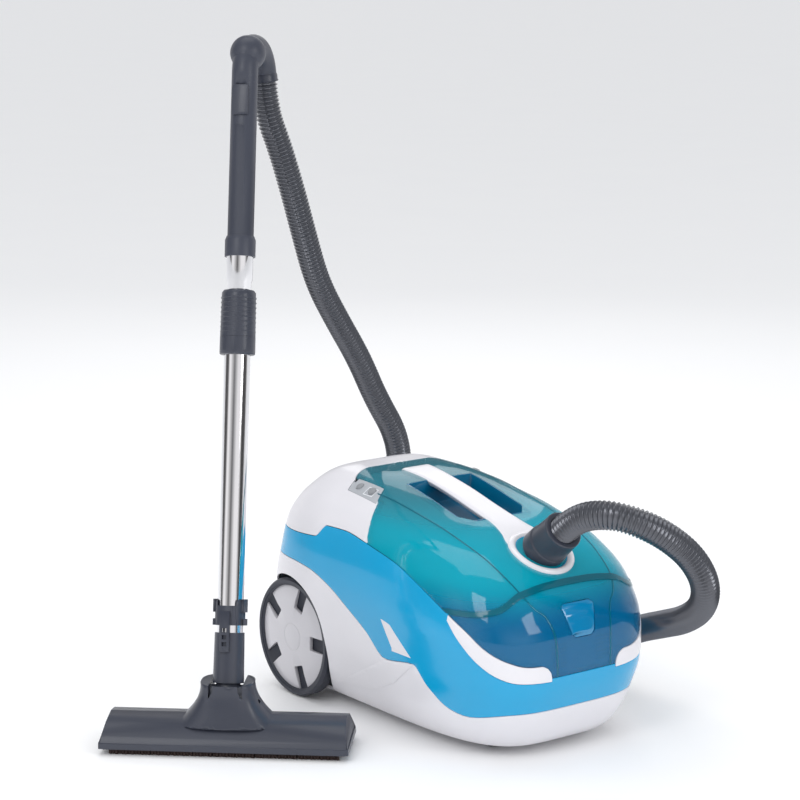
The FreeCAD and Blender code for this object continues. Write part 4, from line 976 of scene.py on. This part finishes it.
class CLEANER_OT_details(bpy.types.Operator):
    """The lid's rim, creases and louvres, the side marks and facets, the wheel discs, the key marks and
    the small parts of wand and floor head"""
    bl_idname = "cleaner.details"
    bl_label = "Details"

    def execute(self, context):
        bm = lid_sheet(-1.0)
        keep_where(bm, lambda p: p.y < -150)
        split(bm, lambda p: RIM_LINE(abs(p.x)) - RIM_BELOW)
        split(bm, lambda p: RIM_LINE(abs(p.x)) + RIM_ABOVE)
        keep_where(bm, lambda p: -RIM_BELOW < p.z - RIM_LINE(abs(p.x)) < RIM_ABOVE)
        piece("lid_rim", thickened(bm, 2.0, 0.9, 1.1), "lid", FINISH["rim"], HOUSE, ())
        for side, label in ((-1, "right"), (1, "left")):
            bm = lid_sheet(-1.0)
            keep_where(bm, lambda p: side * p.x > 20 and p.y < CREASE_END)
            split(bm, lambda p: CREASE_END - 0.01, 1)
            split(bm, lambda p: side * (CREASE_LINE(p.y) - CREASE_HALF), 0)
            split(bm, lambda p: side * (CREASE_LINE(p.y) + CREASE_HALF), 0)
            keep_where(bm, lambda p: abs(side * p.x - CREASE_LINE(p.y)) < CREASE_HALF)
            piece("lid_crease_" + label, thickened(bm, 1.0, 0.2, 0.25), "lid",
                  FINISH["rim"], HOUSE, ())
            bm = side_patch(((-128, 115), (-94, 116), (-70, 152)), ((-128, 115), (-87, 149), (-70, 152)),
                            side, 0.35)
            piece("side_fin_" + label, bm, "housing", FINISH["white"], HOUSE, ())
            bm = side_patch(((-132, 107), (-91, 74), (-42, 51), (42, 39)),
                            ((-132, 108), (-77, 101), (42, 39.2)), side, 0.7, 1.0, 0.5)
            piece("side_facet_" + label, bm, "housing", FINISH["white"], HOUSE, ())
        for side, label in ((-1, "right"), (1, "left")):
            self.disc(side, label)
            self.marks(side, label)
        self.head_caps()
        self.sleeve_rings()
        self.louvres()
        self.tufts()
        return {"FINISHED"}

    def sleeve_rings(self):
        """Grip ridges on the release sleeve and a rounded lip on the collar."""
        bm = bmesh.new()
        for z in range(456, 500, 6):
            merge(bm, spun([(21.0, z - 1.3), (22.0, z - 0.8), (22.25, z), (22.0, z + 0.8),
                            (21.0, z + 1.3)], 72))
        piece("sleeve_ridges", bm, "sleeve", FINISH["dark"], WAND, (), 60)
        bm = spun([(16.9, 427.2), (20.6, 427.2), (22.0, 428.2), (22.2, 430.5), (21.4, 431.2)], 72)
        piece("collar_lip", bm, "housing", FINISH["dark"], WAND, (), 50)

    def louvres(self):
        """Dark louvres that show through the front of the lid."""
        bm = bmesh.new()
        for side in (-1, 1):
            for k in range(7):
                def place(u, v, side=side, k=k):
                    x = side * (24 + 22 * u)
                    z = 116 + 4.6 * k + 2.4 * v
                    hit = skin_hit(Vector((x, -340, z)), Vector((0, 1, 0)))
                    return hit + Vector((0, 5.2, 0))
                merge(bm, worked(sheet(place, 6, 2), [("SOLIDIFY", {"thickness": 1.6, "offset": 0.0})]))
        piece("lid_louvres", bm, "lid", FINISH["black"], HOUSE, ())

    def tufts(self):
        """Rows of bristle tufts under the floor head."""
        bm = bmesh.new()
        for row in (-38, 38):
            for k in range(71):
                x = -140 + 4 * k
                tuft = spun([(0.0, 6.4), (1.0, 6.4), (1.7, 3.0), (1.9, 0.4), (1.2, 0.1), (0.0, 0.1)], 6)
                merge(bm, tuft, Matrix.Translation((x, row + 0.8 * math.sin(k * 2.4), 0)))
        piece("bristle_tufts", bm, "floor_head", FINISH["bristle"], HEAD, (), 60)

    def disc(self, side, label):
        """The dished wheel disc with its five open slots."""
        bm = spun(rounded([(0.0, 3.6), (17.0, 3.4), (17.4, 3.0), (18.2, 3.0), (18.6, 3.4), (52, 2.6),
                           (69.2, 0.4), (69.2, -2.2), (0.0, -2.2)], 0.5, 2), 120)
        for k in range(5):
            slot = slab((39, -9.5, -6), (75, 9.5, 8))
            bevel(slot, [e for e in slot.edges if abs(e.verts[0].co.z - e.verts[1].co.z) > 5
                         and e.verts[0].co.x < 50], 2.0, 3)
            bmesh.ops.transform(slot, matrix=Matrix.Rotation(math.radians(72 * k), 4, "Z"), verts=slot.verts)
            bm = carved(bm, slot)
        bevel(bm, sharp_edges(bm, 60), 0.5, 2)
        axis, ahead = Vector((side, 0, 0)), Vector((0, -1, 0))
        turn = Matrix((ahead, axis.cross(ahead), axis)).transposed().to_4x4()
        spot = HOUSE @ Matrix.Translation(middle_of("hub_cover_" + label))
        piece("wheel_disc_" + label, bm, "wheel_" + label, FINISH["wheel"], spot @ turn,
              ("hub_cover_" + label,), 30)

    def marks(self, side, label):
        """Plain marks beside the keys."""
        bm = bmesh.new()
        for y0, y1, a0, a1 in ((26, 27, 86, 98), (44, 45, 86, 98), (26, 45, 86, 87), (26, 45, 97, 98),
                               (34, 36, 91, 93)):
            def place(u, v, y0=y0, y1=y1, a0=a0, a1=a1):
                y, x = y0 + (y1 - y0) * u, side * (a0 + (a1 - a0) * v)
                return Vector((x, y, skin_top(x, y) + 0.25))
            merge(bm, thickened(upward(sheet(place, 8, 8)), 0.5, 0))
        piece("panel_marks_" + label, bm, "housing", FINISH["icon"], HOUSE, ())

    def head_caps(self):
        """The solid ends of the floor head."""
        bm = bmesh.new()
        for side in (-1, 1):
            ring = []
            for y, z in HEAD_PROFILE:
                lean = max(z - HEAD_FOOT, 0) * HEAD_LEAN + (2 if z > HEAD_FOOT else 0)
                ring.append((side * (HEAD_HALF - lean - 0.8), y, z))
            cap = bmesh.new()
            face = cap.faces.new([cap.verts.new(spot) for spot in ring])
            drawn_out(cap, face, (side * 1.2, 0, 0))
            bevel(cap, [e for e in cap.edges if side * (e.verts[0].co.x + e.verts[1].co.x) / 2 > 100
                        and e.calc_face_angle(0) > 1.0], 0.5, 2)
            merge(bm, cap)
        piece("head_end_caps", bm, "floor_head", FINISH["dark"], HEAD, (), 30)


def upward(bm):
    """Turns every face of a sheet to look up."""
    for f in bm.faces:
        f.normal_update()
        if f.normal.z < 0:
            f.normal_flip()
    return bm


WELL_RADIUS, WELL_DEPTH, WELL_MIDDLE = 84.5, 60, 149


def wheel_wells():
    """The two round wells for the main wheels."""
    middle = middle_of("tyre_right")
    bm = bmesh.new()
    for side in (-1, 1):
        bmesh.ops.create_cone(bm, cap_ends=True, segments=96, radius1=WELL_RADIUS, radius2=WELL_RADIUS,
                              depth=WELL_DEPTH,
                              matrix=Matrix.Translation((side * WELL_MIDDLE, middle.y, middle.z))
                              @ Matrix.Rotation(math.pi / 2, 4, "Y"))
    return bm


def drawn_out(bm, face, move):
    """Extrudes a face into a solid."""
    made = bmesh.ops.extrude_face_region(bm, geom=[face])
    bmesh.ops.translate(bm, vec=move, verts=[v for v in made["geom"] if isinstance(v, bmesh.types.BMVert)])
    bmesh.ops.recalc_face_normals(bm, faces=bm.faces)
    return bm


def prism(outline, low, high, along="z"):
    """A straight prism along Z over a plan, or along Y over a front view."""
    bm = bmesh.new()
    if along == "z":
        ring = [(a, b, low) for a, b in outline]
        move = (0, 0, high - low)
    else:
        ring = [(a, low, b) for a, b in outline]
        move = (0, high - low, 0)
    return drawn_out(bm, bm.faces.new([bm.verts.new(spot) for spot in ring]), move)


# The outlines of a key panel and of the finger tray in plan, and of the latch in the front view.
KEYPAD = ((-78.5, 84.5), (-80.6, 21.6), (-103.6, 8.4), (-98.6, 76.6))
TRAY = ((53, 12), (53, -92), (36, -112), (-36, -112), (-53, -92), (-53, 12))
SHIELD = ((-25.6, 186), (-20.4, 190.6), (20.4, 190.6), (25.6, 186), (17.5, 154.6), (12.2, 150.4),
          (-12.2, 150.4), (-17.5, 154.6))


def pad_cutters():
    """The two openings for the key panels."""
    bm = prism(KEYPAD, 225, 330)
    return merge(bm, prism([(-x, y) for x, y in reversed(KEYPAD)], 225, 330))


def lid_openings(bm):
    """Opens a lid over the finger tray, the key panels and the latch."""
    for cutter in (prism(TRAY, 200, 330), pad_cutters(), prism(SHIELD, -330, -190, "y")):
        bm = carved(bm, cutter)
    return bm


# --------------------------------------------------------------------------- bar, ring and cuff

# Where the hose's socket meets the skin, and which way the socket and the cuff look.
SOCKET = Vector((0, -194, 241))
SOCKET_AXIS = Vector((0, -math.sin(math.radians(33)), math.cos(math.radians(33))))
CUFF_AXIS = Vector((0, -math.sin(math.radians(50)), math.cos(math.radians(50))))
BEZEL_PROFILE = ((29.0, -9.0), (31.0, -2.0), (33.8, 1.6), (36.4, 3.4), (39.0, 3.2), (41.6, 1.6),
                 (43.0, -1.0), (43.2, -5.0))
BAR_HALF = Curve1D(((-180, 38), (-165, 35), (-148, 27.5), (-125, 22.5), (-100, 21), (0, 20.5), (40, 22.5),
                    (62, 24)))
BAR_FRONT, BAR_REAR = -178, 62


def tilted(axis):
    """The turn that stands Z along an axis."""
    return axis.to_track_quat("Z", "Y").to_matrix().to_4x4()


def socket_point(angle, radius, height):
    """A point round the socket, at a height over the skin."""
    across = SOCKET_AXIS.cross(Vector((1, 0, 0)))
    spot = SOCKET + Vector((1, 0, 0)) * radius * math.cos(angle) + across * radius * math.sin(angle)
    return skin_hit(spot + SOCKET_AXIS * 60, -SOCKET_AXIS, 140.0) + SOCKET_AXIS * height


class CLEANER_OT_grip(bpy.types.Operator):
    """The carrying bar, the socket's ring and collar, the finger tray and the hose's cuff"""
    bl_idname = "cleaner.grip"
    bl_label = "Grip"

    def execute(self, context):
        def bar(u, v):
            y = BAR_FRONT + (BAR_REAR - BAR_FRONT) * v
            across = 2 * u - 1
            x = BAR_HALF(y) * across
            edge = max(0.0, abs(across) - 0.72) / 0.28
            return Vector((x, y, skin_top(x, y) + 2.2 * (1 - edge ** 2) - 0.6))

        hole = bmesh.new()
        bmesh.ops.create_cone(hole, cap_ends=True, segments=96, radius1=36.5, radius2=36.5, depth=160,
                              matrix=Matrix.Translation(SOCKET) @ tilted(SOCKET_AXIS))
        bm = carved(thickened(upward(sheet(bar, 24, 60)), 9.0, 1.6), hole)
        piece("carry_bar", bm, "lid", FINISH["white"], HOUSE, ("carry_handle",))

        def ring(u, v):
            last = len(BEZEL_PROFILE) - 1
            k = min(v * last, last - 0.0001)
            i = int(k)
            (r0, h0), (r1, h1) = BEZEL_PROFILE[i], BEZEL_PROFILE[i + 1]
            return socket_point(2 * math.pi * u, r0 + (r1 - r0) * (k - i), h0 + (h1 - h0) * (k - i))

        piece("socket_bezel", sheet(ring, 96, 28), "lid", FINISH["trim"], HOUSE, (), 50)

        def sleeve(u, v):
            return socket_point(2 * math.pi * u, 33.0 - 4.6 * v, 0.6 - 8.0 * v * v)

        piece("socket_collar", sheet(sleeve, 96, 12), "lid", FINISH["blue"], HOUSE, ("socket_ring",),
              50)
        # The tray's finish is its own dark blue plus painted shade for its openings.
        smoothed("grip_tray", "lid", FINISH["tray"], 25, 0.6)

        profile = rounded([(19.0, 0), (27.6, 0), (27.2, 18), (25.9, 20), (25.4, 33), (24.6, 47), (24.9, 51.4),
                           (23.4, 52.6), (18.2, 52.6), (18.0, 40)], 1.1)
        start = Vector(FRONT_ROUTE[0]) - HOUSING - CUFF_AXIS * 52
        piece("cuff_turned", spun(profile, 96), "cuff", FINISH["dark"],
              HOUSE @ Matrix.Translation(start) @ tilted(CUFF_AXIS), ("hose_cuff",))
        return {"FINISHED"}


# --------------------------------------------------------------------------- the rest

# Each fitting's CAD node, body, finish, slot and the rounding of its edges.
SMOOTH = (
    ("latch_button", "latch", "latch", "clear_blue", 0.8),
    ("exhaust_grille", "housing", "dark", "dark_plastic", 0.0),
    ("control_panel_right", "housing", "grey", "light_plastic", 0.4),
    ("control_panel_left", "housing", "grey", "light_plastic", 0.4),
    ("plus_key", "plus", "key", "dark_plastic", 0.4),
    ("minus_key", "minus", "key", "dark_plastic", 0.4),
    ("power_key", "power", "key", "dark_plastic", 0.4),
    ("water_tank", "housing", "tank", "clear_tank", 0.0),
    ("tank_lid", "housing", "tank", "clear_tank", 0.0),
    ("tank_seal", "housing", "seal", "seal_rubber", 0.0),
    ("tyre_left", "wheel_left", "tyre", "tyre_rubber", 0.0),
    ("tyre_right", "wheel_right", "tyre", "tyre_rubber", 0.0),
    ("hub_left", "wheel_left", "tyre", "dark_plastic", 0.0),
    ("hub_right", "wheel_right", "tyre", "dark_plastic", 0.0),
    ("caster_fork_left", "fork_left", "grey", "light_plastic", 0.5),
    ("caster_fork_right", "fork_right", "grey", "light_plastic", 0.5),
    ("caster_wheel_left", "roller_left", "tyre", "tyre_rubber", 0.0),
    ("caster_wheel_right", "roller_right", "tyre", "tyre_rubber", 0.0),
    ("outer_tube", "housing", "chrome", "tube_chrome", 0.0),
    ("inner_tube", "wand_upper", "chrome", "tube_chrome", 0.0),
    ("telescope_collar", "housing", "dark", "dark_plastic", 0.0),
    ("release_sleeve", "sleeve", "dark", "dark_plastic", 0.0),
    ("lower_fitting", "housing", "dark", "dark_plastic", 0.4),
    ("neck_tube", "housing", "dark", "dark_plastic", 0.0),
    ("latch_strip", "housing", "dark", "dark_plastic", 0.4),
    ("handle_shell", "wand_upper", "handle", "handle_plastic", 0.0),
    ("air_slider", "slider", "dark", "dark_plastic", 0.4),
    ("hose_swivel", "swivel", "dark", "dark_plastic", 0.0),
    ("neck_elbow", "elbow", "dark", "dark_plastic", 0.0),
    ("head_shell", "floor_head", "dark", "dark_plastic", 0.0),
)

# The finishes of the CAD nodes that are shown as they are.
PLAIN = {
    "lid_hinge_pin": "steel", "filter_insert": "felt", "motor_housing": "black", "motor_stator": "copper",
    "motor_rotor": "steel", "suction_fan": "fan", "cable_drum": "dark", "drum_spindle": "steel",
    "circuit_board": "board", "exhaust_filter": "felt", "cable_outlet": "dark", "base_screws": "steel",
    "neck_pin": "steel", "sole_plate": "dark", "bristle_strips": "bristle", "wheel_axles": "steel",
}


class CLEANER_OT_fittings(bpy.types.Operator):
    """Smooth copies of the turned and moulded fittings, and finishes for the inner parts"""
    bl_idname = "cleaner.fittings"
    bl_label = "Fittings"

    def execute(self, context):
        for node, body, finish, slot, soften in SMOOTH:
            smoothed(node, body, FINISH[finish], 32.0, soften)
        for node, finish in PLAIN.items():
            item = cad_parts[node]
            if not item.material_slots:
                item.data.materials.append(FINISH[finish])
            for slot in item.material_slots:
                slot.material = FINISH[finish]
        return {"FINISHED"}


class CLEANER_PT_panel(bpy.types.Panel):
    """Lists the steps of the build"""
    bl_idname = "CLEANER_PT_panel"
    bl_label = "Canister cleaner"
    bl_space_type = "VIEW_3D"
    bl_region_type = "UI"
    bl_category = "Cleaner"

    def draw(self, context):
        scene = context.scene
        for group in (scene.cleaner_finish, scene.cleaner_shell, scene.cleaner_hose):
            box = self.layout.box()
            for key in group.__annotations__:
                box.prop(group, key)
        for step in STEPS:
            self.layout.operator(step.bl_idname)


GROUPS = (("cleaner_finish", CleanerFinish), ("cleaner_shell", CleanerShell), ("cleaner_hose", CleanerHose))
STEPS = (CLEANER_OT_stage, CLEANER_OT_hose, CLEANER_OT_shells, CLEANER_OT_details, CLEANER_OT_grip,
         CLEANER_OT_fittings)


def register():
    for name, group in GROUPS:
        bpy.utils.register_class(group)
        setattr(bpy.types.Scene, name, PointerProperty(type=group))
    for item in STEPS + (CLEANER_PT_panel,):
        bpy.utils.register_class(item)


def unregister():
    for item in reversed(STEPS + (CLEANER_PT_panel,)):
        bpy.utils.unregister_class(item)
    for name, group in reversed(GROUPS):
        delattr(bpy.types.Scene, name)
        bpy.utils.unregister_class(group)


def main():
    """Builds everything in order."""
    register()
    FINISH.update(finishes())
    for step in STEPS:
        section, call = step.bl_idname.split(".")
        getattr(getattr(bpy.ops, section), call)()


if __name__ == "__main__":
    main()
